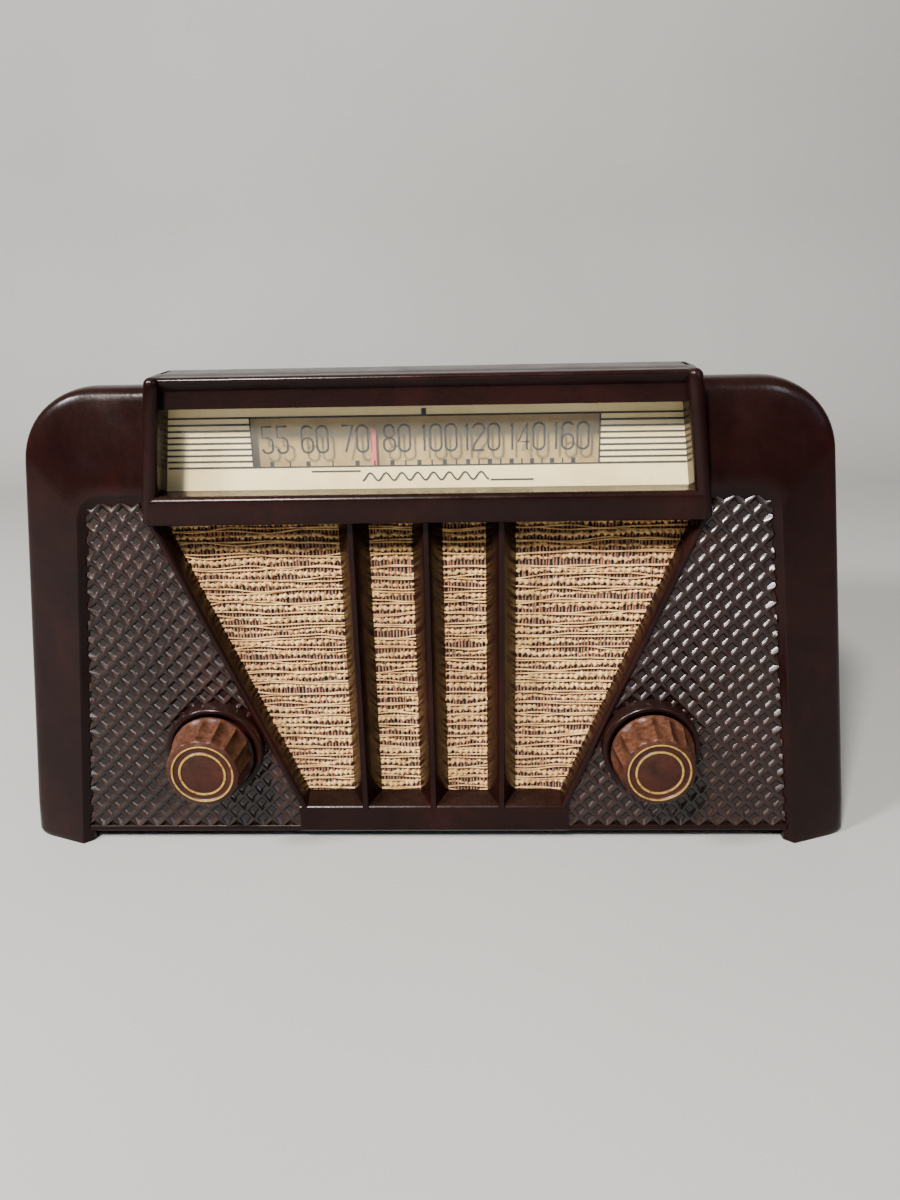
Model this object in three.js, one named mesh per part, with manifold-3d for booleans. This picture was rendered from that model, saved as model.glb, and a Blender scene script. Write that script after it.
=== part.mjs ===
// Tabletop valve radio: moulded cabinet, dial, grille, tuning drive, loudspeaker and chassis.
// Millimetres, +Z up, front towards -Y. Inside this file Y = 0 is the face of the patterned
// front panel and Z = 0 is the table. The last group moves the origin to the middle of the base.
import * as THREE from 'three';
import { mergeVertices } from 'three/addons/utils/BufferGeometryUtils.js';
import Module from 'manifold-3d';

const wasm = await Module();
wasm.setup();

// ---------- driving dimensions ----------
const GAP = 0.3;                // clearance between pieces that touch
const CABINET_WIDTH = 290;      // across the base
const CABINET_DEPTH = 150;      // from the front panel to the back edge
const SHOULDER_HEIGHT = 158.7;  // highest line of the cabinet beside the dial frame
const CREST_Y = 12;             // where the top starts to fall towards the back
const BACK_FALL = 17.2;         // how much lower the back edge is than the crest
const LEAN = 0.135;             // inward lean of the sides, width lost per side per height
const CORNER_RADIUS = 25;       // top corners, seen from the front
const WALL = 3.4;               // moulded wall

const POCKET_WIDTH = 250.6;     // recessed front panel between the pillars, at the base
const POCKET_TOP = 126.4;
const POCKET_RADIUS = 8;
const PILLAR_FRONT = -1.5;      // front line of the pillars and shoulders
const PILLAR_SLOPE = 6.5;       // how far the pillar faces slope back
const PANEL_FACE = 1;           // face of the recessed front panel
const PANEL_WALL = 4;
const FOOT_HEIGHT = 4.6;        // space under the floor between the foot rails
const FOOT_INNER = 124.2;       // from the centre to the inner edge of a foot rail

const BEZEL_WIDTH = 176.2;      // dial frame at its lower edge
const BEZEL_BOTTOM = 117.3;
const BEZEL_TOP = 162.3;
const BEZEL_FRONT = -5.5;
const POST_WIDTH = 4.9;
const RAIL_HEIGHT = 11.1;
const HOOD_HEIGHT = 5.7;
const HOOD_STEP_HEIGHT = 3.9;   // second, set-back step under the hood
const HOOD_STEP_DEPTH = 4.5;

const DIAL_WIDTH = 168;
const DIAL_BOTTOM = 125;
const DIAL_HEIGHT = 29.5;
const GLASS_FRONT = 5.8;
const GLASS_THICKNESS = 2;
const SCALE_THICKNESS = 0.5;
const PLATE_GAP = 2.8;          // from the back of the dial scale to the tan plate
const NEEDLE_THICKNESS = 0.8;
const WINDOW_WIDTH = 108.6;
const WINDOW_BOTTOM = 132.8;
const WINDOW_HEIGHT = 15.3;

const GRILLE_BOTTOM = 15;
const GRILLE_BOTTOM_HALF = 46.9;
const GRILLE_SPREAD = 0.4;      // widening of the grille per height
const GRILLE_RIM = 2.6;
const GRILLE_DEPTH = 7;         // from the panel face to the cloth
const RIM_FRONT = -1;           // front of the grille rim, the sill and the bars
const BAR_PITCH = 23.7;
const BAR_BASE = 9.8;
const BAR_NOSE = 2;
const CLOTH_THICKNESS = 1;
const BAFFLE_THICKNESS = 3.5;
const BAFFLE_MARGIN = 5;

const CONTROL_X = 73.4;         // each control, from the centre
const CONTROL_Z = 38.5;
const BOSS_RADIUS = 16.2;
const BOSS_FRONT = -5.5;
const KNOB_RADIUS = 13.8;
const KNOB_FACE_RADIUS = 12.2;
const KNOB_LENGTH = 14;
const KNOB_FLUTES = 15;
const SHAFT_RADIUS = 3.1;
const BUSH_RADIUS = 4.8;        // threaded bush round each shaft, through the chassis

const SPEAKER_RADIUS = 50.5;
const SPEAKER_Z = 63;
const SPEAKER_DEPTH = 36;
const CONE_RADIUS = 41;
const MAGNET_RADIUS = 20;
const FLANGE = 1.2;             // sheet of the loudspeaker frame

const CHASSIS_WIDTH = 228;
const CHASSIS_FRONT = 64;
const CHASSIS_DEPTH = 76;
const DECK_RISE = 13.5;         // from the axis of the controls up to the top of the chassis
const SHEET = 1.2;              // sheet steel

const DRUM_X = 50;
const DRUM_Z = 74;
const DRUM_RADIUS = 32.5;       // at the cord
const DRIVE_Y = 58;             // plane of the dial cord
const PULLEY_X = 72;
const PULLEY_Z = 112;
const PULLEY_RADIUS = 6;
const CORD_RADIUS = 0.4;
const CORD_PLAY = 0.25;         // between the cord and a wheel
const SPINDLE_RADIUS = 3;
const POINTER_X = -16.2;
const POINTER_TRAVEL = 102;
const RAIL_Y = 51;
const RAIL_RADIUS = 1.5;

const CAPACITOR_LENGTH = 38;
const ROTOR_RADIUS = 16;
const ROTOR_PLATES = 5;         // in each of the two gangs
const ROTOR_PLATE = 0.8;
const PLATE_PITCH = 2.6;

const TUBE_RADIUS = 9.5;
const SOCKET_HOLE = 8.5;

const BACK_THICKNESS = 2.4;
const BACK_REBATE = 3;
const VENT_SLOT = 5;            // ventilation slots in the back
const VENT_LENGTH = 62;
const VENT_GAP = 8;             // from the middle to the near end of a slot
const VENT_HEIGHTS = [56, 90];
const SCREW_RADIUS = 1.6;
const BACK_BOSS_RADIUS = 4.6;
const INLET_RADIUS = 4.5;       // hole for the mains lead

// ---------- sizes that follow ----------
const half = CABINET_WIDTH / 2;
const chassisTop = CONTROL_Z + DECK_RISE;
const controlRadius = DECK_RISE - SHEET - GAP;
const floorTop = FOOT_HEIGHT + WALL;
const clothFront = PANEL_FACE + GRILLE_DEPTH + GAP;
const baffleFront = clothFront + CLOTH_THICKNESS + GAP;
const speakerFront = baffleFront + BAFFLE_THICKNESS + GAP;
const glassBack = GLASS_FRONT + GLASS_THICKNESS;
const scaleBack = glassBack + GAP + SCALE_THICKNESS;
const plateY = scaleBack + PLATE_GAP;
const knobBack = BOSS_FRONT - 0.5;
const knobFront = knobBack - KNOB_LENGTH;
const backFront = CABINET_DEPTH - BACK_REBATE + GAP;
const backRear = backFront + BACK_THICKNESS;
const slopeBack = PILLAR_FRONT + PILLAR_SLOPE;
const screwHeadHeight = 2;
const railZ = PULLEY_Z + 10.6;
const shelfZ = railZ + 4.9;

const sideHalf = (base, z) => base - LEAN * z;
const grilleHalf = (z) => GRILLE_BOTTOM_HALF + GRILLE_SPREAD * (z - GRILLE_BOTTOM);
const bezelHalf = (z) => BEZEL_WIDTH / 2 - LEAN * (z - BEZEL_BOTTOM);
const topDrop = (y) => (BACK_FALL * Math.max(y - CREST_Y, 0)) / (CABINET_DEPTH - CREST_Y);

// ---------- materials ----------
const material = (color, roughness, metalness = 0) =>
  new THREE.MeshStandardMaterial({ color, roughness, metalness });
const BAKELITE = material('#33201f', 0.3);
const KNOB_PLASTIC = material('#74382a', 0.35);
const CLEAR_GLASS = material('#dfe6e4', 0.05);
const CREAM_PAINT = material('#e2d4ab', 0.5);
const TAN_PAINT = material('#b5a47c', 0.6);
const POINTER_RED = material('#c4544e', 0.5);
const CLOTH = material('#c9ad78', 0.95);
const BOARD = material('#7a5a3a', 0.9);
const FIBREBOARD = material('#5b4330', 0.9);
const STEEL = material('#a9abad', 0.4, 0.9);
const ALUMINIUM = material('#c4c6c8', 0.35, 0.9);
const BRASS = material('#b99a55', 0.35, 0.9);
const MAGNET_GREY = material('#4a4b4d', 0.5, 0.6);
const CONE_PAPER = material('#2e2a26', 0.95);
const TUBE_GLASS = material('#b9c2c4', 0.08);
const PHENOLIC = material('#4b3423', 0.6);
const RUBBER = material('#1b1a19', 0.85);
const CORD_THREAD = material('#3c352c', 0.9);
const COPPER = material('#a8613a', 0.45, 0.7);
const CARDBOARD = material('#8a7350', 0.85);

// ---------- solids ----------
function toSolid(geometry) {
  geometry.deleteAttribute('normal');
  geometry.deleteAttribute('uv');
  const merged = mergeVertices(geometry, 1e-4);
  return new wasm.Manifold(new wasm.Mesh({
    numProp: 3,
    vertProperties: new Float32Array(merged.attributes.position.array),
    triVerts: new Uint32Array(merged.index.array),
  }));
}

function toGeometry(solid) {
  const mesh = solid.getMesh();
  const geometry = new THREE.BufferGeometry();
  geometry.setAttribute('position', new THREE.BufferAttribute(mesh.vertProperties, 3));
  geometry.setIndex(new THREE.BufferAttribute(mesh.triVerts, 1));
  geometry.computeVertexNormals();
  return geometry;
}

const join = (first, ...rest) => rest.reduce((sum, solid) => sum.add(solid), first);
const cut = (first, ...rest) => rest.reduce((left, solid) => left.subtract(solid), first);

// a block between two corners
function block([x0, x1], [y0, y1], [z0, z1]) {
  const geometry = new THREE.BoxGeometry(x1 - x0, y1 - y0, z1 - z0);
  geometry.translate((x0 + x1) / 2, (y0 + y1) / 2, (z0 + z1) / 2);
  return toSolid(geometry);
}

// a solid of revolution about the line x, z that runs along Y; the profile is [radius, y] pairs
function turned(profile, x, z, segments = 24) {
  const points = profile.map(([radius, y]) => new THREE.Vector2(radius, y));
  const geometry = new THREE.LatheGeometry(points, segments);
  geometry.translate(x, 0, z);
  return toSolid(geometry);
}

const rod = (radius, [y0, y1], x, z, segments = 16) =>
  turned([[0, y0], [radius, y0], [radius, y1], [0, y1]], x, z, segments);

// a solid of revolution about the vertical line x, y; the profile is [radius, z] pairs
function upright(profile, x, y, segments = 16) {
  const points = profile.map(([radius, z]) => new THREE.Vector2(radius, z));
  const geometry = new THREE.LatheGeometry(points, segments);
  geometry.rotateX(Math.PI / 2);
  geometry.translate(x, y, 0);
  return toSolid(geometry);
}

const column = (radius, [z0, z1], x, y, segments = 16) =>
  upright([[0, z0], [radius, z0], [radius, z1], [0, z1]], x, y, segments);

// an outline in X and Z carried from y0 to y1
function slab(outline, [y0, y1]) {
  const shape = new THREE.Shape(outline.map(([x, z]) => new THREE.Vector2(x, z)));
  const geometry = new THREE.ExtrudeGeometry(shape, { depth: y1 - y0, bevelEnabled: false });
  geometry.rotateX(Math.PI / 2);
  geometry.translate(0, y1, 0);
  return toSolid(geometry);
}

// an outline in X and Y, counterclockwise from above, carried from z0 to z1
function prism(outline, [z0, z1]) {
  const shape = new THREE.Shape(outline.map(([x, y]) => new THREE.Vector2(x, y)));
  const geometry = new THREE.ExtrudeGeometry(shape, { depth: z1 - z0, bevelEnabled: false });
  geometry.translate(0, 0, z0);
  return toSolid(geometry);
}

// a rod along X
function crossRod(radius, [x0, x1], y, z, segments = 12) {
  const geometry = new THREE.CylinderGeometry(radius, radius, x1 - x0, segments);
  geometry.rotateZ(Math.PI / 2);
  geometry.translate((x0 + x1) / 2, y, z);
  return toSolid(geometry);
}

// a skin over outlines of the same number of points, counterclockwise from the front,
// each at its own y from front to back
function loft(stations) {
  const count = stations[0].outline.length;
  const positions = stations.flatMap(({ y, outline }) => outline.flatMap(([x, z]) => [x, y, z]));
  const index = [];
  for (let k = 0; k + 1 < stations.length; k++) {
    for (let i = 0; i < count; i++) {
      const next = (i + 1) % count;
      const [a, b] = [k * count + i, k * count + next];
      const [c, d] = [b + count, a + count];
      index.push(a, d, c, a, c, b);
    }
  }
  const flat = (station) => station.outline.map(([x, z]) => new THREE.Vector2(x, z));
  const last = (stations.length - 1) * count;
  for (const [a, b, c] of THREE.ShapeUtils.triangulateShape(flat(stations[0]), [])) {
    index.push(a, b, c);
  }
  for (const [a, b, c] of THREE.ShapeUtils.triangulateShape(flat(stations.at(-1)), [])) {
    index.push(last + a, last + c, last + b);
  }
  const geometry = new THREE.BufferGeometry();
  geometry.setAttribute('position', new THREE.Float32BufferAttribute(positions, 3));
  geometry.setIndex(index);
  return toSolid(geometry);
}

// ---------- outlines ----------
// a leaning-sided outline with rounded top corners, counterclockwise from its lower right corner
function housingOutline(baseHalf, bottom, top, radius, steps = 8) {
  const lean = Math.atan(LEAN);
  const centreZ = top - radius;
  const sideAtTop = sideHalf(baseHalf, top);
  const centreX = sideAtTop - radius * Math.tan(Math.PI / 4 - lean / 2);
  const right = [[sideHalf(baseHalf, bottom), bottom]];
  for (let i = 0; i <= steps; i++) {
    const angle = lean + ((Math.PI / 2 - lean) * i) / steps;
    right.push([centreX + radius * Math.cos(angle), centreZ + radius * Math.sin(angle)]);
  }
  return [...right, ...right.map(([x, z]) => [-x, z]).reverse()];
}

function grilleOutline(margin, bottom, top) {
  const at = (z) => grilleHalf(z) + margin;
  return [[-at(bottom), bottom], [at(bottom), bottom], [at(top), top], [-at(top), top]];
}

function bezelOutline(inset, bottom, top) {
  const at = (z) => bezelHalf(z) - inset;
  return [[-at(bottom), bottom], [at(bottom), bottom], [at(top), top], [-at(top), top]];
}

const dialOutline = (extra) => {
  const x = DIAL_WIDTH / 2 + extra;
  const z0 = DIAL_BOTTOM - extra;
  const z1 = DIAL_BOTTOM + DIAL_HEIGHT + extra;
  return [[-x, z0], [x, z0], [x, z1], [-x, z1]];
};

// a fluted round outline
function flutedOutline(radius, depth, x, z) {
  const points = [];
  const perFlute = 4;
  for (let i = 0; i < KNOB_FLUTES * perFlute; i++) {
    const angle = (2 * Math.PI * i) / (KNOB_FLUTES * perFlute);
    const r = radius - depth * Math.abs(Math.cos((angle * KNOB_FLUTES) / 2));
    points.push([x + r * Math.cos(angle), z + r * Math.sin(angle)]);
  }
  return points;
}

// ---------- cabinet ----------
const backScrewPlaces = [17, SHOULDER_HEIGHT - BACK_FALL - 20.5].flatMap((z) => {
  const x = sideHalf(half - WALL, z) - BACK_BOSS_RADIUS + 0.5;
  return [[-x, z], [x, z]];
});
const chassisBoltPlaces = [-1, 1].map((side) =>
  [side * (CHASSIS_WIDTH / 2 - 9), CHASSIS_FRONT + CHASSIS_DEPTH / 2]);
const baffleScrewZ = BEZEL_BOTTOM - 13.3;
const baffleScrewPlaces = [-1, 1].map((side) =>
  [side * (grilleHalf(baffleScrewZ) + GRILLE_RIM + 4.4), baffleScrewZ]);

const shellStations = [
  { y: PILLAR_FRONT, base: POCKET_WIDTH / 2 + 0.8, top: POCKET_TOP + 0.8, radius: POCKET_RADIUS },
  { y: slopeBack, base: half - 0.8, top: SHOULDER_HEIGHT - 2.3, radius: CORNER_RADIUS - 1 },
  { y: slopeBack + 2, base: half, top: SHOULDER_HEIGHT - 0.9, radius: CORNER_RADIUS },
  { y: CREST_Y, base: half, top: SHOULDER_HEIGHT, radius: CORNER_RADIUS },
  { y: CABINET_DEPTH, base: half, top: SHOULDER_HEIGHT - BACK_FALL, radius: CORNER_RADIUS },
];

function cabinetShell() {
  return loft(shellStations.map(({ y, base, top, radius }) =>
    ({ y, outline: housingOutline(base, 0, top, radius) })));
}

function cabinetHollow() {
  const inside = (y, wall) => ({
    y,
    outline: housingOutline(
      half - wall, floorTop, SHOULDER_HEIGHT - topDrop(y) - wall, CORNER_RADIUS - wall,
    ),
  });
  const behindPanel = {
    y: PANEL_FACE + PANEL_WALL,
    outline: housingOutline(POCKET_WIDTH / 2 - 2, floorTop, POCKET_TOP - 3, POCKET_RADIUS - 3),
  };
  return loft([
    behindPanel,
    inside(CREST_Y, WALL),
    inside(CABINET_DEPTH - BACK_REBATE, WALL),
    inside(CABINET_DEPTH - BACK_REBATE + 0.01, WALL / 2),
    inside(CABINET_DEPTH + 1, WALL / 2),
  ]);
}

// the raised band that carries the width of the dial frame over the top to the back
function topBand() {
  const section = (y, inset, drop) => ({
    y,
    outline: bezelOutline(inset, BEZEL_BOTTOM + 22, BEZEL_TOP - drop),
  });
  return loft([
    section(BEZEL_FRONT + 1.5, 0, 0),
    section(CREST_Y + 4, 0, 0),
    section(CABINET_DEPTH, 0, BACK_FALL),
  ]);
}

function dialFrame() {
  const rounded = 1.3;
  return loft([
    { y: BEZEL_FRONT, outline: bezelOutline(rounded, BEZEL_BOTTOM + rounded, BEZEL_TOP - rounded) },
    { y: BEZEL_FRONT + rounded, outline: bezelOutline(0, BEZEL_BOTTOM, BEZEL_TOP) },
    { y: clothFront - GAP, outline: bezelOutline(0, BEZEL_BOTTOM, BEZEL_TOP) },
  ]);
}

function dialOpening() {
  const frontTop = BEZEL_TOP - HOOD_HEIGHT;
  const bottom = BEZEL_BOTTOM + RAIL_HEIGHT;
  const stepTop = frontTop - HOOD_STEP_HEIGHT;
  return join(
    slab(
      bezelOutline(POST_WIDTH, bottom, frontTop),
      [BEZEL_FRONT - 1, BEZEL_FRONT + HOOD_STEP_DEPTH],
    ),
    slab(bezelOutline(POST_WIDTH, bottom, stepTop), [BEZEL_FRONT, CREST_Y]),
    slab(dialOutline(GAP), [GLASS_FRONT - GAP, CREST_Y + 4]),
  );
}

function grilleFrame() {
  return slab(grilleOutline(0, floorTop - WALL, BEZEL_BOTTOM + 3), [RIM_FRONT, clothFront - GAP]);
}

const grilleOpening = () =>
  slab(grilleOutline(-GRILLE_RIM, GRILLE_BOTTOM, BEZEL_BOTTOM), [BEZEL_FRONT - 2, clothFront + 3]);

// an upright bar, wide at the cloth and narrow at its nose
function grilleBar(x) {
  const back = clothFront - GAP;
  const section = [
    [x - BAR_NOSE / 2, RIM_FRONT],
    [x + BAR_NOSE / 2, RIM_FRONT],
    [x + BAR_BASE / 2, back],
    [x - BAR_BASE / 2, back],
  ];
  return prism(section, [GRILLE_BOTTOM - 1, BEZEL_BOTTOM + 1]);
}

function cabinet() {
  const pocket = slab(
    housingOutline(POCKET_WIDTH / 2, -1, POCKET_TOP, POCKET_RADIUS),
    [BEZEL_FRONT - 2, PANEL_FACE],
  );
  const underside = block(
    [-FOOT_INNER, FOOT_INNER],
    [BEZEL_FRONT - 2, CABINET_DEPTH + 1],
    [-1, FOOT_HEIGHT],
  );
  let body = cut(cabinetShell(), pocket, cabinetHollow());
  body = join(body, cut(topBand(), cabinetHollow()), dialFrame(), grilleFrame());
  for (const side of [-1, 1]) {
    const boss = rod(BOSS_RADIUS, [BOSS_FRONT, PANEL_FACE + PANEL_WALL], side * CONTROL_X, CONTROL_Z, 32);
    body = join(body, boss);
  }
  for (const [x, z] of backScrewPlaces) {
    body = join(body, rod(BACK_BOSS_RADIUS, [CABINET_DEPTH - 34, CABINET_DEPTH - BACK_REBATE], x, z, 12));
  }
  for (const [x, z] of baffleScrewPlaces) {
    body = join(body, rod(3.6, [PANEL_FACE + PANEL_WALL - 1, baffleFront - GAP], x, z, 12));
  }
  body = cut(body, underside, dialOpening(), grilleOpening());
  for (const place of [-1, 0, 1]) {
    body = join(body, grilleBar(place * BAR_PITCH));
  }
  for (const side of [-1, 1]) {
    body = cut(body, rod(SHAFT_RADIUS + 0.8, [BOSS_FRONT - 1, CREST_Y], side * CONTROL_X, CONTROL_Z));
  }
  for (const [x, z] of backScrewPlaces) {
    body = cut(body, rod(SCREW_RADIUS + GAP, [CABINET_DEPTH - 20, CABINET_DEPTH], x, z, 10));
  }
  for (const [x, z] of baffleScrewPlaces) {
    body = cut(body, rod(SCREW_RADIUS + GAP, [PANEL_FACE + 2.5, CREST_Y], x, z, 10));
  }
  for (const [x, y] of chassisBoltPlaces) {
    body = cut(body, column(SCREW_RADIUS + 0.6, [0, floorTop + 1], x, y, 12));
  }
  return body;
}

// ---------- dial ----------
const dialGlass = () => slab(dialOutline(0), [GLASS_FRONT, glassBack]);

function dialScale() {
  const x = WINDOW_WIDTH / 2;
  const window = block([-x, x], [0, 20], [WINDOW_BOTTOM, WINDOW_BOTTOM + WINDOW_HEIGHT]);
  return cut(slab(dialOutline(0), [glassBack + GAP, scaleBack]), window);
}

// folded sheet: an upright tan plate behind the window, a shelf that runs back from its lower
// edge, two legs down to the chassis, and two tabs with the pins that the idler pulleys turn on
function dialBackplate() {
  const legX = PULLEY_X + 15;
  const shelfBack = DRIVE_Y + 4.5;
  const plateTop = WINDOW_BOTTOM + WINDOW_HEIGHT + 3.5;
  const legFront = RAIL_Y - 6;
  const footBack = CHASSIS_FRONT + 8;
  let plate = join(
    block([-legX, legX], [plateY, plateY + SHEET], [shelfZ, plateTop]),
    block([-legX, legX], [plateY, shelfBack], [shelfZ, shelfZ + SHEET]),
  );
  for (const side of [-1, 1]) {
    const [near, far] = side > 0 ? [legX - SHEET, legX] : [-legX, -legX + SHEET];
    const leg = block([near, far], [legFront, shelfBack], [chassisTop + GAP + 1, shelfZ + SHEET]);
    const foot = block(
      side > 0 ? [legX, legX + 8] : [-legX - 8, -legX],
      [shelfBack - 6, footBack],
      [chassisTop + GAP, chassisTop + GAP + SHEET],
    );
    const web = block([near, far], [legFront, footBack], [chassisTop + GAP, chassisTop + 12]);
    const rear = cut(web, block([-200, 200], [0, CHASSIS_FRONT + 1], [0, chassisTop + GAP + 1]));
    const tab = block(
      [side * PULLEY_X - 6, side * PULLEY_X + 6],
      [shelfBack - SHEET, shelfBack],
      [PULLEY_Z - 6, shelfZ + 0.5],
    );
    const pin = rod(1.5, [DRIVE_Y - 4, shelfBack - 0.5], side * PULLEY_X, PULLEY_Z, 12);
    const railHole = block([near - 1, far + 1], [RAIL_Y - 1.9, RAIL_Y + 1.9], [railZ - 1.9, railZ + 1.9]);
    plate = join(plate, cut(join(leg, rear), railHole), foot, tab, pin);
  }
  return plate;
}

const pointerRail = () => crossRod(RAIL_RADIUS, [-PULLEY_X - 17.5, PULLEY_X + 17.5], RAIL_Y, railZ);

// needle in front of the tan plate, an arm that passes under it, and a slider on the rail
function dialPointer() {
  const needleY = scaleBack + (PLATE_GAP - NEEDLE_THICKNESS) / 2;
  const armTop = railZ + 0.7;
  const armBottom = railZ - 0.7;
  const needleTop = WINDOW_BOTTOM + 11.7;
  const needle = block([-0.8, 0.8], [needleY, needleY + NEEDLE_THICKNESS], [armBottom, needleTop]);
  const arm = block([-2.5, 2.5], [needleY, RAIL_Y], [armBottom, armTop]);
  const slider = block([-7, 7], [RAIL_Y - 3.2, RAIL_Y + 3.2], [railZ - 3.2, railZ + 3.2]);
  const clipBottom = PULLEY_Z + PULLEY_RADIUS + 2;
  const clip = block([-3, 3], [RAIL_Y, DRIVE_Y + 1.5], [clipBottom, clipBottom + 1.2]);
  const bore = crossRod(RAIL_RADIUS + GAP, [-10, 10], RAIL_Y, railZ);
  return cut(join(needle, arm, slider, clip), bore).translate([POINTER_X, 0, 0]);
}

function idlerPulley(side) {
  const [front, back] = [DRIVE_Y - 2, DRIVE_Y + 2];
  const rim = PULLEY_RADIUS + 0.8;
  const groove = PULLEY_RADIUS - 0.5;
  const wheel = turned([
    [0, front], [rim, front], [rim, front + 0.8], [groove, DRIVE_Y - 0.6],
    [groove, DRIVE_Y + 0.6], [rim, back - 0.8], [rim, back], [0, back],
  ], side * PULLEY_X, PULLEY_Z, 20);
  return cut(wheel, rod(1.5 + GAP, [front - 1, back + 1], side * PULLEY_X, PULLEY_Z, 12));
}

function dialDrum() {
  const [front, back] = [DRIVE_Y - 2.5, DRIVE_Y + 2.5];
  const rim = DRUM_RADIUS + 1.4;
  const groove = DRUM_RADIUS - CORD_RADIUS - 0.1;
  const web = DRUM_RADIUS - 4;
  const wheel = turned([
    [0, front], [6, front], [6, front + 1.5], [web, front + 1.5], [web, front], [rim, front],
    [groove, DRIVE_Y - 0.8], [groove, DRIVE_Y + 0.8], [rim, back], [0, back],
  ], DRUM_X, DRUM_Z, 32);
  const bore = rod(SPINDLE_RADIUS + GAP, [front - 1, back + 1], DRUM_X, DRUM_Z, 16);
  const slots = [0, 1, 2].map((k) => {
    const angle = (k * 2 * Math.PI) / 3 + 0.4;
    return rod(7, [front - 1, back + 1], DRUM_X + 17 * Math.cos(angle), DRUM_Z + 17 * Math.sin(angle), 14);
  });
  return cut(wheel, bore, ...slots);
}

// round the drum, over both pulleys and down again, as one closed thread
function dialCord() {
  const arcPoints = (x, z, r, from, to, steps) =>
    Array.from({ length: steps + 1 }, (_, i) => {
      const a = from + ((to - from) * i) / steps;
      return [x + r * Math.cos(a), z + r * Math.sin(a)];
    });
  const straight = ([x0, z0], [x1, z1]) =>
    [0.04, 0.25, 0.5, 0.75, 0.96].map((t) => [x0 + (x1 - x0) * t, z0 + (z1 - z0) * t]);
  const wheel = PULLEY_RADIUS + CORD_RADIUS + CORD_PLAY;
  const drum = DRUM_RADIUS + CORD_RADIUS + CORD_PLAY;
  const deg = Math.PI / 180;
  const roundDrum = arcPoints(DRUM_X, DRUM_Z, drum, -172 * deg, -6 * deg, 20);
  const overRight = arcPoints(PULLEY_X, PULLEY_Z, wheel, 14 * deg, 90 * deg, 5);
  const overLeft = arcPoints(-PULLEY_X, PULLEY_Z, wheel, 90 * deg, 245 * deg, 8);
  const points = [
    ...roundDrum,
    ...straight(roundDrum.at(-1), overRight[0]),
    ...overRight,
    ...straight(overRight.at(-1), overLeft[0]),
    ...overLeft,
  ];
  const route = points.map(([x, z]) => new THREE.Vector3(x, DRIVE_Y, z));
  const section = new THREE.Shape();
  section.absarc(0, 0, CORD_RADIUS, 0, 2 * Math.PI, false);
  const geometry = new THREE.ExtrudeGeometry(section, {
    extrudePath: new THREE.CatmullRomCurve3(route, false, 'centripetal'),
    steps: 90,
    curveSegments: 3,
  });
  return toSolid(geometry);
}

function dialLamp() {
  const [y, z] = [RAIL_Y - 12, WINDOW_BOTTOM + 4];
  const profile = [[0, 0], [4.4, 0], [4.4, 9], [5.4, 13], [5.4, 18], [3.5, 22], [0, 23]];
  const geometry = new THREE.LatheGeometry(profile.map(([r, length]) => new THREE.Vector2(r, length)), 16);
  geometry.rotateZ(-Math.PI / 2);
  geometry.translate(-PULLEY_X + 4, y, z);
  return toSolid(geometry);
}

function dialLampHolder() {
  const [x, y, z] = [-PULLEY_X + 4, RAIL_Y - 12, WINDOW_BOTTOM + 4];
  const outer = crossRod(5.8, [x - 1.5, x + 7.5], y, z, 16);
  const bore = crossRod(4.7, [x - 0.3, x + 8.7], y, z, 16);
  const foot = block([x - 1.5, x], [y - 5, y + 5], [shelfZ + SHEET + GAP, z]);
  return cut(join(outer, foot), bore);
}

// ---------- controls ----------
function knob(side) {
  const [x, z] = [side * CONTROL_X, CONTROL_Z];
  const face = knobFront;
  const body = loft([
    { y: face, outline: flutedOutline(KNOB_FACE_RADIUS - 0.9, 0, x, z) },
    { y: face + 0.9, outline: flutedOutline(KNOB_FACE_RADIUS, 0.5, x, z) },
    { y: knobBack - 4, outline: flutedOutline(KNOB_RADIUS - 0.1, 1.1, x, z) },
    { y: knobBack - 3.2, outline: flutedOutline(KNOB_RADIUS, 0, x, z) },
    { y: knobBack, outline: flutedOutline(KNOB_RADIUS, 0, x, z) },
  ]);
  const dished = turned([
    [7.6, face - 1], [9.6, face - 1], [9.6, face + 0.5], [7.6, face + 0.5], [7.6, face - 1],
  ], x, z, 32);
  return cut(body, dished, rod(SHAFT_RADIUS + 0.2, [face + 4, knobBack + 1], x, z));
}

const controlNutY = [CHASSIS_FRONT - 3, CHASSIS_FRONT - GAP];

function hexagon(radius, x, z) {
  return Array.from({ length: 6 }, (_, i) => {
    const angle = (i * Math.PI) / 3;
    return [x + radius * Math.cos(angle), z + radius * Math.sin(angle)];
  });
}

function controlNut(side) {
  const [x, z] = [side * CONTROL_X, CONTROL_Z];
  const bore = rod(BUSH_RADIUS + GAP, [controlNutY[0] - 1, controlNutY[1] + 1], x, z);
  return cut(slab(hexagon(7.5, x, z), controlNutY), bore);
}

function volumeShaft() {
  const [x, z] = [-CONTROL_X, CONTROL_Z];
  return join(
    rod(SHAFT_RADIUS, [knobFront + 4.4, CHASSIS_FRONT + 6], x, z),
    rod(6, [CHASSIS_FRONT + 5, CHASSIS_FRONT + 8], x, z),
  );
}

// control body behind the apron of the chassis, with its threaded bush through the apron
function volumeControl() {
  const [x, z] = [-CONTROL_X, CONTROL_Z];
  const front = CHASSIS_FRONT + SHEET + GAP;
  const body = join(
    rod(controlRadius, [front, front + 13], x, z, 24),
    rod(BUSH_RADIUS, [CHASSIS_FRONT - 6, front + 1], x, z),
    block([x - 8, x + 8], [front + 2, front + 5], [z - controlRadius - 5, z]),
  );
  return cut(
    body,
    rod(SHAFT_RADIUS + GAP, [CHASSIS_FRONT - 7, front + 4], x, z),
    rod(6.6, [CHASSIS_FRONT + 4.2, CHASSIS_FRONT + 9], x, z),
  );
}

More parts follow.
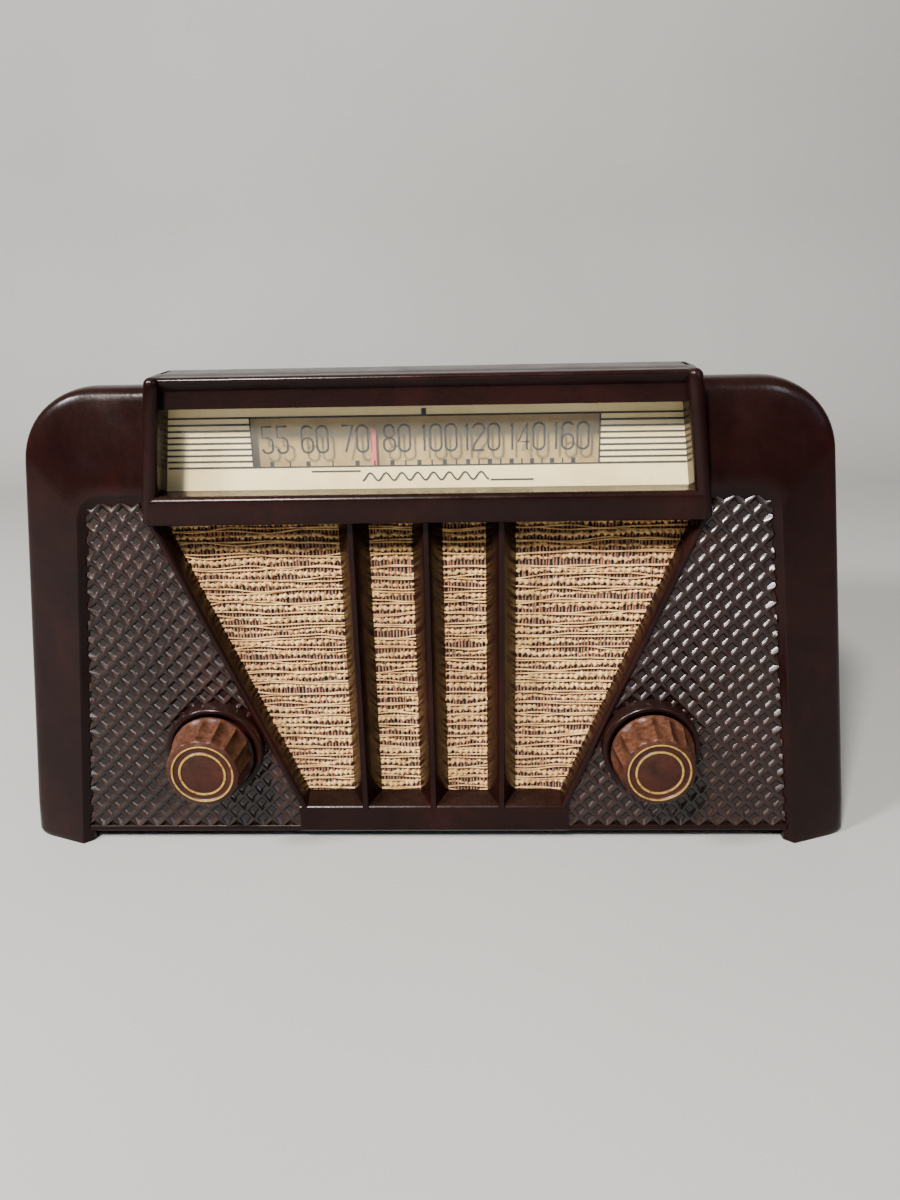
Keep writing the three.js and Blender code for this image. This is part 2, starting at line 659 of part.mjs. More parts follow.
function tuningShaft() {
  const [x, z] = [CONTROL_X, CONTROL_Z];
  const front = knobFront + 4.4;
  const back = CHASSIS_FRONT + 12;
  return turned([
    [0, front], [SHAFT_RADIUS, front], [SHAFT_RADIUS, DRIVE_Y - 5], [4.6, DRIVE_Y - 5],
    [4.6, DRIVE_Y - 4], [SPINDLE_RADIUS, DRIVE_Y - 4], [SPINDLE_RADIUS, back], [0, back],
  ], x, z, 16);
}

function tuningBush() {
  const [x, z] = [CONTROL_X, CONTROL_Z];
  const front = CHASSIS_FRONT + SHEET + GAP;
  return cut(
    join(rod(BUSH_RADIUS, [controlNutY[0] - 0.5, front + 1], x, z), rod(7, [front, front + 3], x, z)),
    rod(SPINDLE_RADIUS + GAP, [CHASSIS_FRONT - 9, front + 4], x, z),
  );
}

// ---------- grille and loudspeaker ----------
// a screw along Y whose head is behind what it holds
function panHeadScrew(tip, head, headRadius, x, z) {
  return turned([
    [0, tip], [SCREW_RADIUS, tip], [SCREW_RADIUS, head],
    [headRadius, head], [headRadius, head + 1.6], [0, head + 1.6],
  ], x, z, 12);
}

const grilleCloth = () => slab(
  grilleOutline(BAFFLE_MARGIN - 2, GRILLE_BOTTOM - 2.5, BEZEL_BOTTOM + 1.7),
  [clothFront, clothFront + CLOTH_THICKNESS],
);

function grilleBaffle() {
  const y = [baffleFront, baffleFront + BAFFLE_THICKNESS];
  let board = slab(grilleOutline(BAFFLE_MARGIN + 4, GRILLE_BOTTOM - 4, BEZEL_BOTTOM + 2.7), y);
  board = cut(board, rod(CONE_RADIUS + 1, [y[0] - 1, y[1] + 1], 0, SPEAKER_Z, 32));
  for (const [x, z] of [...baffleScrewPlaces, ...speakerScrewPlaces]) {
    board = cut(board, rod(SCREW_RADIUS + GAP, [y[0] - 1, y[1] + 1], x, z, 10));
  }
  return board;
}

function baffleScrew([x, z]) {
  const tip = PANEL_FACE + 3.4;
  return panHeadScrew(tip, baffleFront + BAFFLE_THICKNESS + GAP, 3.4, x, z);
}

const speakerScrewPlaces = [45, 135, 225, 315].map((angle) => {
  const r = SPEAKER_RADIUS - 3.2;
  const a = (angle * Math.PI) / 180;
  return [r * Math.cos(a), SPEAKER_Z + r * Math.sin(a)];
});

// open basket: flange, four ribs and a seat for the magnet
function speakerFrame() {
  const front = speakerFront;
  const seat = front + SPEAKER_DEPTH - 12;
  const bowl = turned([
    [CONE_RADIUS, front], [SPEAKER_RADIUS, front], [SPEAKER_RADIUS, front + FLANGE],
    [CONE_RADIUS + 3, front + FLANGE], [CONE_RADIUS + 1, front + 6], [MAGNET_RADIUS + 1, seat],
    [8.5, seat], [8.5, seat - FLANGE], [MAGNET_RADIUS, seat - FLANGE],
    [CONE_RADIUS - 0.2, front + 5.5], [CONE_RADIUS, front],
  ], 0, SPEAKER_Z, 32);
  const windows = [0, 1, 2, 3].map((k) => {
    const a = (k * Math.PI) / 2;
    const [x, z] = [31 * Math.cos(a), SPEAKER_Z + 31 * Math.sin(a)];
    return rod(9.5, [front + 8, seat + 3], x, z, 12);
  });
  const holes = speakerScrewPlaces.map(([x, z]) =>
    rod(SCREW_RADIUS + GAP, [front - 1, front + 3], x, z, 10));
  return cut(bowl, ...windows, ...holes);
}

function speakerMagnet() {
  const seat = speakerFront + SPEAKER_DEPTH - 12 + GAP;
  return cut(
    rod(MAGNET_RADIUS, [seat, seat + 12], 0, SPEAKER_Z, 28),
    turned([
      [6.5, seat - 1], [8.3, seat - 1], [8.3, seat + 7], [6.5, seat + 7], [6.5, seat - 1],
    ], 0, SPEAKER_Z, 24),
  );
}

// paper cone with its dust cap and the voice coil former that sits in the magnet's gap
function speakerCone() {
  const front = speakerFront;
  const seat = front + SPEAKER_DEPTH - 12;
  return turned([
    [0, seat - 7], [8, seat - 8], [CONE_RADIUS - 5, front + 3.2], [CONE_RADIUS - 1.5, front + 3.2],
    [CONE_RADIUS - 1.5, front + 3.9], [CONE_RADIUS - 4.6, front + 4], [7.8, seat - 6.6],
    [7.8, seat + 4.5], [7, seat + 4.5], [7, seat - 5.9], [0, seat - 5.9],
  ], 0, SPEAKER_Z, 28);
}

function speakerScrew([x, z]) {
  return panHeadScrew(baffleFront + 0.4, speakerFront + FLANGE + GAP, 2.9, x, z);
}

// ---------- tuning capacitor ----------
const capacitorFront = CHASSIS_FRONT + 3;
const capacitorBack = capacitorFront + CAPACITOR_LENGTH;
const gangStarts = [capacitorFront + 4.2, capacitorFront + 21];

function capacitorFrame() {
  const [y0, y1] = [capacitorFront, capacitorBack];
  const [z0, z1] = [chassisTop + GAP, DRUM_Z + 15];
  const [x0, x1] = [DRUM_X - 23, DRUM_X + 20];
  const body = join(
    block([x0, x1], [y0, y1], [z0, z0 + 1.6]),
    block([x0, x1], [y0, y0 + 1.6], [z0, z1]),
    block([x0, x1], [y1 - 1.6, y1], [z0, z1]),
    block([x0, x0 + 1.6], [y0, y1], [z0, z0 + 12]),
  );
  return cut(body, rod(SPINDLE_RADIUS + GAP, [y0 - 1, y1 + 1], DRUM_X, DRUM_Z, 16));
}

function capacitorRotor() {
  const halfDisc = Array.from({ length: 11 }, (_, i) => {
    const a = -Math.PI / 2 + (Math.PI * i) / 10;
    return [DRUM_X + ROTOR_RADIUS * Math.cos(a), DRUM_Z + ROTOR_RADIUS * Math.sin(a)];
  });
  let rotor = rod(SPINDLE_RADIUS, [DRIVE_Y - 4, capacitorBack + 2], DRUM_X, DRUM_Z, 16);
  for (const start of gangStarts) {
    for (let k = 0; k < ROTOR_PLATES; k++) {
      const y = start + k * PLATE_PITCH;
      rotor = join(rotor, slab(halfDisc, [y, y + ROTOR_PLATE]));
    }
  }
  return rotor;
}

function capacitorStator() {
  const [x0, x1] = [DRUM_X - 20.5, DRUM_X - 1];
  const reach = ROTOR_RADIUS - 3;
  const shaftRoom = rod(SPINDLE_RADIUS + 1.4, [capacitorFront, capacitorBack], DRUM_X, DRUM_Z, 16);
  const barY = [gangStarts[0] + 1, gangStarts[1] + ROTOR_PLATES * PLATE_PITCH - 1.5];
  const bars = [DRUM_Z - 9, DRUM_Z + 9].map((z) => block([x0, x0 + 2], barY, [z - 1.5, z + 1.5]));
  let stator = join(...bars);
  for (const start of gangStarts) {
    for (let k = 0; k + 1 < ROTOR_PLATES; k++) {
      const y = start + (k + 0.5) * PLATE_PITCH;
      const plate = block([x0, x1], [y, y + ROTOR_PLATE], [DRUM_Z - reach, DRUM_Z + reach]);
      stator = join(stator, cut(plate, shaftRoom));
    }
  }
  return stator;
}

// ---------- chassis ----------
const socketTop = chassisTop + 2.2;
const tubePlaces = {
  rectifier: { x: -98, y: 84, height: 52 },
  output: { x: -98, y: 120, height: 52 },
  detector: { x: -28, y: 84, height: 44 },
  if_amplifier: { x: 6, y: 120, height: 44 },
  converter: { x: 93, y: 120, height: 44 },
};

function chassis() {
  const x = CHASSIS_WIDTH / 2;
  const [y0, y1] = [CHASSIS_FRONT, CHASSIS_FRONT + CHASSIS_DEPTH];
  const z0 = floorTop + GAP;
  const flange = 18;
  let pan = cut(
    block([-x, x], [y0, y1], [z0, chassisTop]),
    block([-x + SHEET, x - SHEET], [y0 + SHEET, y1 - SHEET], [z0 + SHEET, chassisTop - SHEET]),
    block([-x + flange, x - flange], [y0 + SHEET, y1 - SHEET], [z0 - 1, z0 + 4]),
  );
  for (const side of [-1, 1]) {
    pan = cut(pan, rod(BUSH_RADIUS + GAP, [y0 - 1, y0 + 3], side * CONTROL_X, CONTROL_Z));
  }
  for (const { x: tx, y: ty } of Object.values(tubePlaces)) {
    pan = cut(pan, column(SOCKET_HOLE + GAP, [chassisTop - 3, chassisTop + 1], tx, ty));
  }
  for (const [bx, by] of chassisBoltPlaces) {
    pan = cut(pan, column(SCREW_RADIUS + GAP, [z0 - 1, z0 + 3], bx, by, 12));
  }
  return pan;
}

// hexagon-headed bolt up through the cabinet floor into the chassis flange
function chassisBolt([x, y]) {
  const headTop = FOOT_HEIGHT - GAP;
  const head = new THREE.CylinderGeometry(3.6, 3.6, 2.6, 6);
  head.rotateX(Math.PI / 2);
  head.translate(x, y, headTop - 1.3);
  return join(toSolid(head), column(SCREW_RADIUS, [headTop - 1, floorTop + 5], x, y, 12));
}

function tubeSocket({ x, y }) {
  const [below, seat, top] = [chassisTop - 5, chassisTop + GAP, socketTop];
  return upright([
    [4.2, below], [SOCKET_HOLE, below], [SOCKET_HOLE, seat], [11, seat],
    [11, top], [4.2, top], [4.2, below],
  ], x, y, 16);
}

function tube({ x, y, height }) {
  const z = socketTop + GAP;
  const tip = z + height;
  return upright([
    [0, z - 5], [3.6, z - 5], [3.6, z], [TUBE_RADIUS, z], [TUBE_RADIUS, tip - 8],
    [TUBE_RADIUS - 2.5, tip - 4], [2, tip - 2.5], [1.2, tip], [0, tip],
  ], x, y, 16);
}

function coilCan(x, y) {
  const z = chassisTop + GAP;
  const body = block([x - 11, x + 11], [y - 11, y + 11], [z, z + 50]);
  const cap = block([x - 9.5, x + 9.5], [y - 9.5, y + 9.5], [z + 49, z + 52]);
  return cut(join(body, cap), column(2.6, [z + 48, z + 53], x, y, 12));
}

const filterCapacitor = (x, y) => {
  const z = chassisTop + GAP;
  return upright([
    [0, z], [13.5, z], [13.5, z + 2], [12.5, z + 2], [12.5, z + 60], [11.3, z + 61], [0, z + 61],
  ], x, y, 20);
};

const transformerPlace = { x: -62, y: 84, z: chassisTop + GAP };

function transformerCore() {
  const { x, y, z } = transformerPlace;
  const stack = block([x - 17, x + 17], [y - 6, y + 6], [z, z + 29]);
  const windows = [-1, 1].map((side) =>
    block([x + side * 8.5 - 3, x + side * 8.5 + 3], [y - 7, y + 7], [z + 6, z + 23]));
  return cut(stack, ...windows);
}

function transformerCoil() {
  const { x, y, z } = transformerPlace;
  const bobbin = block([x - 11.2, x + 11.2], [y - 12, y + 12], [z + 6.4, z + 22.6]);
  const limb = block([x - 5.8, x + 5.8], [y - 6.3, y + 6.3], [z, z + 30]);
  return cut(bobbin, limb);
}

const oscillatorCoil = (x, y) => {
  const z = chassisTop + GAP;
  const former = upright([
    [0, z], [6, z], [6, z + 6], [8.6, z + 7], [8.6, z + 15], [6, z + 16], [6, z + 28], [0, z + 28],
  ], x, y, 18);
  return cut(former, column(3.4, [z + 14, z + 29], x, y, 12));
};

// ---------- back ----------
const cordInlet = { x: 96, z: 19 };

function backCover() {
  const inset = WALL / 2 + 0.4;
  const top = SHOULDER_HEIGHT - BACK_FALL - inset + 0.2;
  const through = [backFront - 1, backRear + 1];
  const panel = housingOutline(half - inset, floorTop + 0.4, top, CORNER_RADIUS - inset);
  const holes = backScrewPlaces.map(([x, z]) => rod(SCREW_RADIUS + GAP, through, x, z, 10));
  for (const z of VENT_HEIGHTS) {
    for (const [x0, x1] of [[-VENT_GAP - VENT_LENGTH, -VENT_GAP], [VENT_GAP, VENT_GAP + VENT_LENGTH]]) {
      holes.push(block([x0, x1], through, [z - VENT_SLOT / 2, z + VENT_SLOT / 2]));
    }
  }
  holes.push(rod(INLET_RADIUS + GAP, through, cordInlet.x, cordInlet.z, 16));
  return cut(slab(panel, [backFront, backRear]), ...holes);
}

// flat wound loop on the inside of the back
function loopAntenna() {
  const ring = (x, z0, z1) => [[-x, z0], [x, z0], [x, z1], [-x, z1]];
  const y = [backFront - GAP - 2.4, backFront - GAP];
  return cut(slab(ring(98, 28, 118), y), slab(ring(84, 42, 104), [y[0] - 1, y[1] + 1]));
}

function cordGrommet() {
  return turned([
    [2.6, backFront - 2.5], [6.5, backFront - 2.5], [6.5, backFront - GAP],
    [INLET_RADIUS, backFront - GAP], [INLET_RADIUS, backRear + GAP],
    [6.5, backRear + GAP], [5.6, backRear + 2], [2.6, backRear + 2], [2.6, backFront - 2.5],
  ], cordInlet.x, cordInlet.z, 16);
}

function backScrew([x, z]) {
  const head = backRear + GAP;
  return turned([
    [0, CABINET_DEPTH - 14], [SCREW_RADIUS, CABINET_DEPTH - 14], [SCREW_RADIUS, head], [3.6, head],
    [3.2, head + screwHeadHeight - 0.6], [0, head + screwHeadHeight],
  ], x, z, 12);
}

// ---------- assembly ----------
const radio = new THREE.Group();
function place(name, solid, look) {
  const mesh = new THREE.Mesh(toGeometry(solid), look);
  mesh.name = name;
  radio.add(mesh);
}

place('cabinet', cabinet(), BAKELITE);
place('dial_glass', dialGlass(), CLEAR_GLASS);
place('dial_scale', dialScale(), CREAM_PAINT);
place('dial_backplate', dialBackplate(), TAN_PAINT);
place('dial_pointer', dialPointer(), POINTER_RED);
place('pointer_rail', pointerRail(), STEEL);
place('idler_pulley_left', idlerPulley(-1), BRASS);
place('idler_pulley_right', idlerPulley(1), BRASS);
place('dial_drum', dialDrum(), ALUMINIUM);
place('dial_cord', dialCord(), CORD_THREAD);
place('dial_lamp', dialLamp(), TUBE_GLASS);
place('dial_lamp_holder', dialLampHolder(), STEEL);
place('grille_cloth', grilleCloth(), CLOTH);
place('grille_baffle', grilleBaffle(), BOARD);
baffleScrewPlaces.forEach((at, i) => place(`baffle_screw_${['left', 'right'][i]}`, baffleScrew(at), STEEL));
place('volume_knob', knob(-1), KNOB_PLASTIC);
place('tuning_knob', knob(1), KNOB_PLASTIC);
place('volume_shaft', volumeShaft(), ALUMINIUM);
place('volume_control', volumeControl(), PHENOLIC);
place('volume_control_nut', controlNut(-1), BRASS);
place('tuning_shaft', tuningShaft(), ALUMINIUM);
place('tuning_bush', tuningBush(), BRASS);
place('tuning_bush_nut', controlNut(1), BRASS);
place('tuning_capacitor_frame', capacitorFrame(), STEEL);
place('tuning_capacitor_rotor', capacitorRotor(), ALUMINIUM);
place('tuning_capacitor_stator', capacitorStator(), ALUMINIUM);
place('speaker_frame', speakerFrame(), STEEL);
place('speaker_magnet', speakerMagnet(), MAGNET_GREY);
place('speaker_cone', speakerCone(), CONE_PAPER);
speakerScrewPlaces.forEach((at, i) => place(`speaker_screw_${i + 1}`, speakerScrew(at), STEEL));
place('chassis', chassis(), STEEL);
chassisBoltPlaces.forEach((at, i) => place(`chassis_bolt_${['left', 'right'][i]}`, chassisBolt(at), STEEL));
for (const [name, at] of Object.entries(tubePlaces)) {
  place(`${name}_tube`, tube(at), TUBE_GLASS);
  place(`${name}_socket`, tubeSocket(at), PHENOLIC);
}
place('if_transformer_first', coilCan(4, 84), ALUMINIUM);
place('if_transformer_second', coilCan(-32, 120), ALUMINIUM);
place('filter_capacitor', filterCapacitor(-64, 120), CARDBOARD);
place('output_transformer_core', transformerCore(), MAGNET_GREY);
place('output_transformer_coil', transformerCoil(), COPPER);
place('oscillator_coil', oscillatorCoil(92, 88), CARDBOARD);
place('loop_antenna', loopAntenna(), COPPER);
place('back_cover', backCover(), FIBREBOARD);
place('cord_grommet', cordGrommet(), RUBBER);
backScrewPlaces.forEach((at, i) => place(`back_screw_${i + 1}`, backScrew(at), STEEL));

// origin at the middle of the footprint, on the table
const screwTip = backRear + GAP + screwHeadHeight;
radio.position.y = -(knobFront + screwTip) / 2;

const part = new THREE.Group();
part.add(radio);
export default part;
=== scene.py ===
"""Tabletop valve radio: the finished look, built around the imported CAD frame.

Lengths inside this file are millimetres in the radio's own drawing frame: X to the right, Y = 0 on
the face of the patterned front panel with the front towards -Y, Z = 0 on the table. Piece.build
turns them into metres in the shared frame.
"""
import math
import random

import bmesh
import bpy
from mathutils import Matrix, Vector


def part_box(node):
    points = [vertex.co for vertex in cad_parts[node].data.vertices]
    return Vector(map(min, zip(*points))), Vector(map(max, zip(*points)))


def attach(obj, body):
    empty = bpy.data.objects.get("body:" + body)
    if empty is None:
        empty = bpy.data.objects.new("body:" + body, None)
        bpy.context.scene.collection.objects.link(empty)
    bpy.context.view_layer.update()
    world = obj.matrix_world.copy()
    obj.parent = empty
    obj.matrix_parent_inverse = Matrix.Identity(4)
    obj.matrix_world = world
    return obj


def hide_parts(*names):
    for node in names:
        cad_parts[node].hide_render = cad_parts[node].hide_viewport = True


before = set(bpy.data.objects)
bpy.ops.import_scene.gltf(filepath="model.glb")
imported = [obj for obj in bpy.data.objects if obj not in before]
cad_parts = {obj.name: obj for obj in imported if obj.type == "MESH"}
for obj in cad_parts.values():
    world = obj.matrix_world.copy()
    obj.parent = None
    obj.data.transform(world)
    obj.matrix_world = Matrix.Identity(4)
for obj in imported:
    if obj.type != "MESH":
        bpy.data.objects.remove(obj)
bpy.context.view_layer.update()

# ---------- sizes, the same as the CAD ----------
HALF = 145.0                # half width across the base
DEPTH = 150.0
LEAN = 0.135                # inward lean of the sides per height
SHOULDER = 158.7
CREST_Y = 12.0
BACK_FALL = 17.2
BAND_CREST_Y = 17            # where the raised band starts to fall
CORNER = 25.0
WALL = 3.4
FOOT = 4.6
FOOT_INNER = 124.2
POCKET_HALF = 125.3
POCKET_TOP = 126.4
POCKET_CORNER = 8.0
BEZEL_HALF = 88.1           # dial frame at its lower edge
BEZEL_BOTTOM = 117.3
BEZEL_TOP = 162.3
BEZEL_FRONT = -5.5
HOOD_STEP = 156              # underside of the hood behind the dial
HOOD_BACK = 14
POST_RADIUS = 2.45
GRILLE_BOTTOM = 15.0
GRILLE_HALF = 46.9
GRILLE_SPREAD = 0.4
GRILLE_RIM = 2.6
RIM_FRONT = -1.0
CLOTH_Y = 8.0
BAR_PITCH = 23.7
BAR_BASE = 9.8
BAR_NOSE = 2.0
LATTICE = 3.175             # half the diagonal of one sunk diamond
LATTICE_RIDGE = -0.4
LATTICE_FLOOR = 0.75
LATTICE_BOTTOM = 2.1 * LATTICE
CONTROL_X = 73.4
CONTROL_Z = 38.5
BOSS_RADIUS = 16.2
BOSS_FRONT = -5.5
KNOB_BACK = -6.0
KNOB_SHOULDER = -18.4       # front end of the tapered flutes
KNOB_RADIUS = 13.8
FACE_RADIUS = 12.2
FLUTES = 15
PRINT_Y = 7.93              # between the glass and the painted scale
DIAL_EDGE = 81.5
WINDOW_HALF = 54.3
WINDOW_BOTTOM = 132.8
WINDOW_TOP = 148.1

FRONT_PANEL_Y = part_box("cabinet")[0].y * 1000 - BEZEL_FRONT   # Y of the front panel in the frame


def lerp(a, b, t):
    return a + (b - a) * t


def lean(half, z):
    return half - LEAN * z


def grille_half(z):
    return GRILLE_HALF + GRILLE_SPREAD * (z - GRILLE_BOTTOM)


def bezel_half(z):
    return BEZEL_HALF - LEAN * (z - BEZEL_BOTTOM)


def top_drop(y):
    return 0 if y <= CREST_Y else BACK_FALL * (y - CREST_Y) / (DEPTH - CREST_Y)


def metres(x, y, z):
    return Vector((x, y + FRONT_PANEL_Y, z)) / 1000


# ---------- mesh making ----------
class Piece:
    """Closed parts in millimetres that end up as one mesh object."""

    def __init__(self, name):
        self.name = name
        self.bm = bmesh.new()
        self.slots = []

    def slot(self, look):
        if look not in self.slots:
            self.slots.append(look)
        return self.slots.index(look)

    def add(self, verts, faces, look):
        slot = self.slot(look)
        made = [self.bm.verts.new(metres(*v)) for v in verts]
        for face in faces:
            self.bm.faces.new([made[i] for i in face]).material_index = slot

    def add_bmesh(self, other, look):
        """Adds a bmesh that is already in metres."""
        slot = self.slot(look)
        twin = {v: self.bm.verts.new(v.co) for v in other.verts}
        for face in other.faces:
            self.bm.faces.new([twin[v] for v in face.verts]).material_index = slot
        other.free()

    def build(self, body, crease=32):
        bm = self.bm
        bmesh.ops.recalc_face_normals(bm, faces=bm.faces)
        for face in bm.faces:
            face.smooth = True
        for edge in bm.edges:
            edge.smooth = len(edge.link_faces) == 2 and edge.calc_face_angle(0) < math.radians(crease)
        mesh = bpy.data.meshes.new(self.name)
        bm.to_mesh(mesh)
        bm.free()
        for look in self.slots:
            mesh.materials.append(look)
        obj = bpy.data.objects.new(self.name, mesh)
        bpy.context.scene.collection.objects.link(obj)
        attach(obj, body)
        return obj


def skin(rows, around=True, ends=True, ring=False):
    """Faces over rows of points: around closes each row, ring joins the last row to the first."""
    count = len(rows[0])
    faces = []
    for r in range(len(rows) if ring else len(rows) - 1):
        low, high = r * count, (r + 1) % len(rows) * count
        for i in range(count if around else count - 1):
            j = (i + 1) % count
            faces.append((low + i, low + j, high + j, high + i))
    if ends:
        last = (len(rows) - 1) * count
        faces.append(tuple(range(count))[::-1])
        faces.append(tuple(range(last, last + count)))
    return [p for row in rows for p in row], faces


def lathe(profile, x, z, segments=64):
    """A body turned round the line x, z along Y; profile holds (radius, y) and is closed."""
    rows = []
    for k in range(segments):
        a = math.tau * k / segments
        rows.append([(x + r * math.cos(a), y, z + r * math.sin(a)) for r, y in profile])
    return skin(rows, around=True, ends=False, ring=True)


def along_x(profile, half_at, steps=1):
    """A (y, z) profile carried across the radio; half_at(z) is its half length at each height."""
    rows = []
    for k in range(steps + 1):
        t = 2 * k / steps - 1
        rows.append([(t * half_at(z), y, z) for y, z in profile])
    return skin(rows)


def arc(centre, radius, start, end, steps):
    """Points on an arc; angles in degrees."""
    points = []
    for k in range(steps + 1):
        a = math.radians(lerp(start, end, k / steps))
        points.append((centre[0] + radius * math.cos(a), centre[1] + radius * math.sin(a)))
    return points


def rounded_block(x, y, z, radius, steps=3):
    """A block between two corners, with its edges along Y and its front rounded."""
    rows = []
    profile = [(radius * (1 - math.sin(a)), radius * (1 - math.cos(a)))
               for a in (math.pi / 2 * k / steps for k in range(steps + 1))]
    stations = [(inset, y[0] + forward) for inset, forward in reversed(profile)]
    stations.append((0, y[1]))
    for inset, at in stations:
        corner = []
        for cx, cz, start in ((x[1], z[0], 270), (x[1], z[1], 0), (x[0], z[1], 90), (x[0], z[0], 180)):
            sx = 1 if cx == x[1] else -1
            sz = 1 if cz == z[1] else -1
            centre = (cx - sx * radius, cz - sz * radius)
            corner += arc(centre, max(radius - inset, 0.01), start, start + 90, steps)
        rows.append([(px, at, pz) for px, pz in corner])
    return skin(rows)


# ---------- materials ----------
def node(tree, kind, **values):
    made = tree.nodes.new(kind)
    for key, value in values.items():
        if key in made.inputs:
            made.inputs[key].default_value = value
        else:
            setattr(made, key, value)
    return made


class Look:
    """A principled material with helpers for procedural patterns in object coordinates."""

    def __init__(self, name, **values):
        self.material = bpy.data.materials.new(name)
        self.material.use_nodes = True
        self.tree = self.material.node_tree
        self.shader = self.tree.nodes["Principled BSDF"]
        for key, value in values.items():
            self.shader.inputs[key.replace("_", " ")].default_value = value
        self.where = node(self.tree, "ShaderNodeTexCoord").outputs["Object"]

    def link(self, a, b):
        self.tree.links.new(a, b)

    def noise(self, scale, detail=4.0, roughness=0.5, stretch=(1, 1, 1), distortion=0.0):
        mapping = node(self.tree, "ShaderNodeMapping", Scale=stretch)
        self.link(self.where, mapping.inputs["Vector"])
        made = node(self.tree, "ShaderNodeTexNoise", Scale=scale, Detail=detail,
                    Roughness=roughness, Distortion=distortion)
        self.link(mapping.outputs["Vector"], made.inputs["Vector"])
        return made.outputs["Fac"]

    def ramp(self, value, *stops):
        """stops are (position, colour or grey)."""
        made = node(self.tree, "ShaderNodeValToRGB")
        ramp = made.color_ramp
        while len(ramp.elements) < len(stops):
            ramp.elements.new(0.5)
        for element, (position, colour) in zip(ramp.elements, stops):
            element.position = position
            element.color = colour if hasattr(colour, "__len__") else (colour, colour, colour, 1)
        self.link(value, made.inputs["Fac"])
        return made.outputs["Color"]

    def mix(self, amount, a, b, blend="MIX"):
        made = node(self.tree, "ShaderNodeMix", data_type="RGBA", blend_type=blend)
        for socket, value in ((made.inputs[0], amount), (made.inputs[6], a), (made.inputs[7], b)):
            if isinstance(value, bpy.types.NodeSocket):
                self.link(value, socket)
            else:
                socket.default_value = value
        return made.outputs[2]

    def maths(self, operation, a, b=0.5):
        made = node(self.tree, "ShaderNodeMath", operation=operation)
        for socket, value in zip(made.inputs, (a, b)):
            if isinstance(value, bpy.types.NodeSocket):
                self.link(value, socket)
            else:
                socket.default_value = value
        return made.outputs[0]

    def facing(self, x, y, z):
        """How far the surface faces a direction, from 0 to 1."""
        normal = node(self.tree, "ShaderNodeNewGeometry").outputs["Normal"]
        made = node(self.tree, "ShaderNodeVectorMath", operation="DOT_PRODUCT")
        self.link(normal, made.inputs[0])
        made.inputs[1].default_value = Vector((x, y, z)).normalized()
        clamp = node(self.tree, "ShaderNodeClamp")
        self.link(made.outputs["Value"], clamp.inputs["Value"])
        return clamp.outputs[0]

    def bump(self, *layers):
        """layers are (height, strength, distance in metres)."""
        before = None
        for height, strength, distance in layers:
            made = node(self.tree, "ShaderNodeBump", Strength=strength, Distance=distance)
            self.link(height, made.inputs["Height"])
            if before:
                self.link(before, made.inputs["Normal"])
            before = made.outputs["Normal"]
        self.link(before, self.shader.inputs["Normal"])

    def colour(self, value):
        self.link(value, self.shader.inputs["Base Color"])
        return self

    def rough(self, value):
        self.link(value, self.shader.inputs["Roughness"])
        return self


def rgb(code):
    """A colour from its sRGB code, as linear values."""
    parts = [int(code[i:i + 2], 16) / 255 for i in (1, 3, 5)]
    return tuple(p / 12.92 if p <= 0.04045 else ((p + 0.055) / 1.055) ** 2.4 for p in parts) + (1,)


def bakelite(name, dust_and_sheen_share, specular):
    look = Look(name, Specular_IOR_Level=specular)
    flow = look.noise(28, detail=6, roughness=0.65, distortion=0.6)
    base = look.ramp(flow, (0.3, rgb("#0b0303")), (0.55, rgb("#140605")), (0.78, rgb("#220a09")))
    speck = look.noise(1400, detail=3, roughness=0.7)
    # Grey speckle on up-facing faces: partly real dust, partly painted sheen standing in for the light's
    # speckled reflection.
    dust_and_sheen = look.maths("MULTIPLY", look.ramp(speck, (0.3, 0.3), (0.68, 1.0)), look.facing(0, 0.1, 0.99))
    patches = look.ramp(look.noise(60, detail=5, roughness=0.7), (0.42, 0.5), (0.62, 1.0))
    dust_and_sheen = look.maths("MULTIPLY", dust_and_sheen, patches)
    look.colour(look.mix(look.maths("MULTIPLY", dust_and_sheen, dust_and_sheen_share), base, rgb("#6e5c52")))
    smears = look.noise(90, detail=7, roughness=0.7, stretch=(1, 1, 0.5))
    rough = look.ramp(smears, (0.3, 0.16), (0.7, 0.3))
    look.rough(rough)
    look.bump((look.noise(900, detail=2), 0.16, 0.0002), (look.noise(55, detail=3), 0.12, 0.0006))
    return look.material


def knob_plastic():
    look = Look("knob_plastic", Specular_IOR_Level=0.18)
    flow = look.noise(120, detail=6, roughness=0.6, distortion=0.4)
    base = look.ramp(flow, (0.3, rgb("#170704")), (0.6, rgb("#270d08")), (0.85, rgb("#3a160d")))
    grime = look.ramp(look.noise(260, detail=6, roughness=0.75), (0.5, 0.0), (0.75, 0.6))
    aged = look.mix(grime, base, rgb("#2b1710"))
    # Light flecks on flutes that face up and to the left: partly bloom on the plastic, partly painted
    # highlight where the key light falls.
    bloom_and_highlight = look.ramp(look.noise(500, detail=5, roughness=0.7), (0.35, 0.03), (0.65, 0.2))
    upward_bloom_and_highlight = look.maths("MULTIPLY", bloom_and_highlight, look.facing(-0.3, -0.1, 0.95))
    look.colour(look.mix(upward_bloom_and_highlight, aged, rgb("#a87355")))
    look.rough(look.ramp(look.noise(300, detail=5), (0.3, 0.28), (0.7, 0.5)))
    look.bump((look.noise(1100, detail=3), 0.2, 0.0002))
    return look.material


def gold_paint():
    look = Look("gold_paint", Metallic=0.75)
    worn = look.noise(700, detail=6, roughness=0.7)
    look.colour(look.ramp(worn, (0.34, rgb("#5b3a22")), (0.46, rgb("#a8873f")), (0.7, rgb("#cdb063"))))
    look.rough(look.ramp(worn, (0.3, 0.6), (0.6, 0.36)))
    look.bump((worn, 0.2, 0.0001))
    return look.material


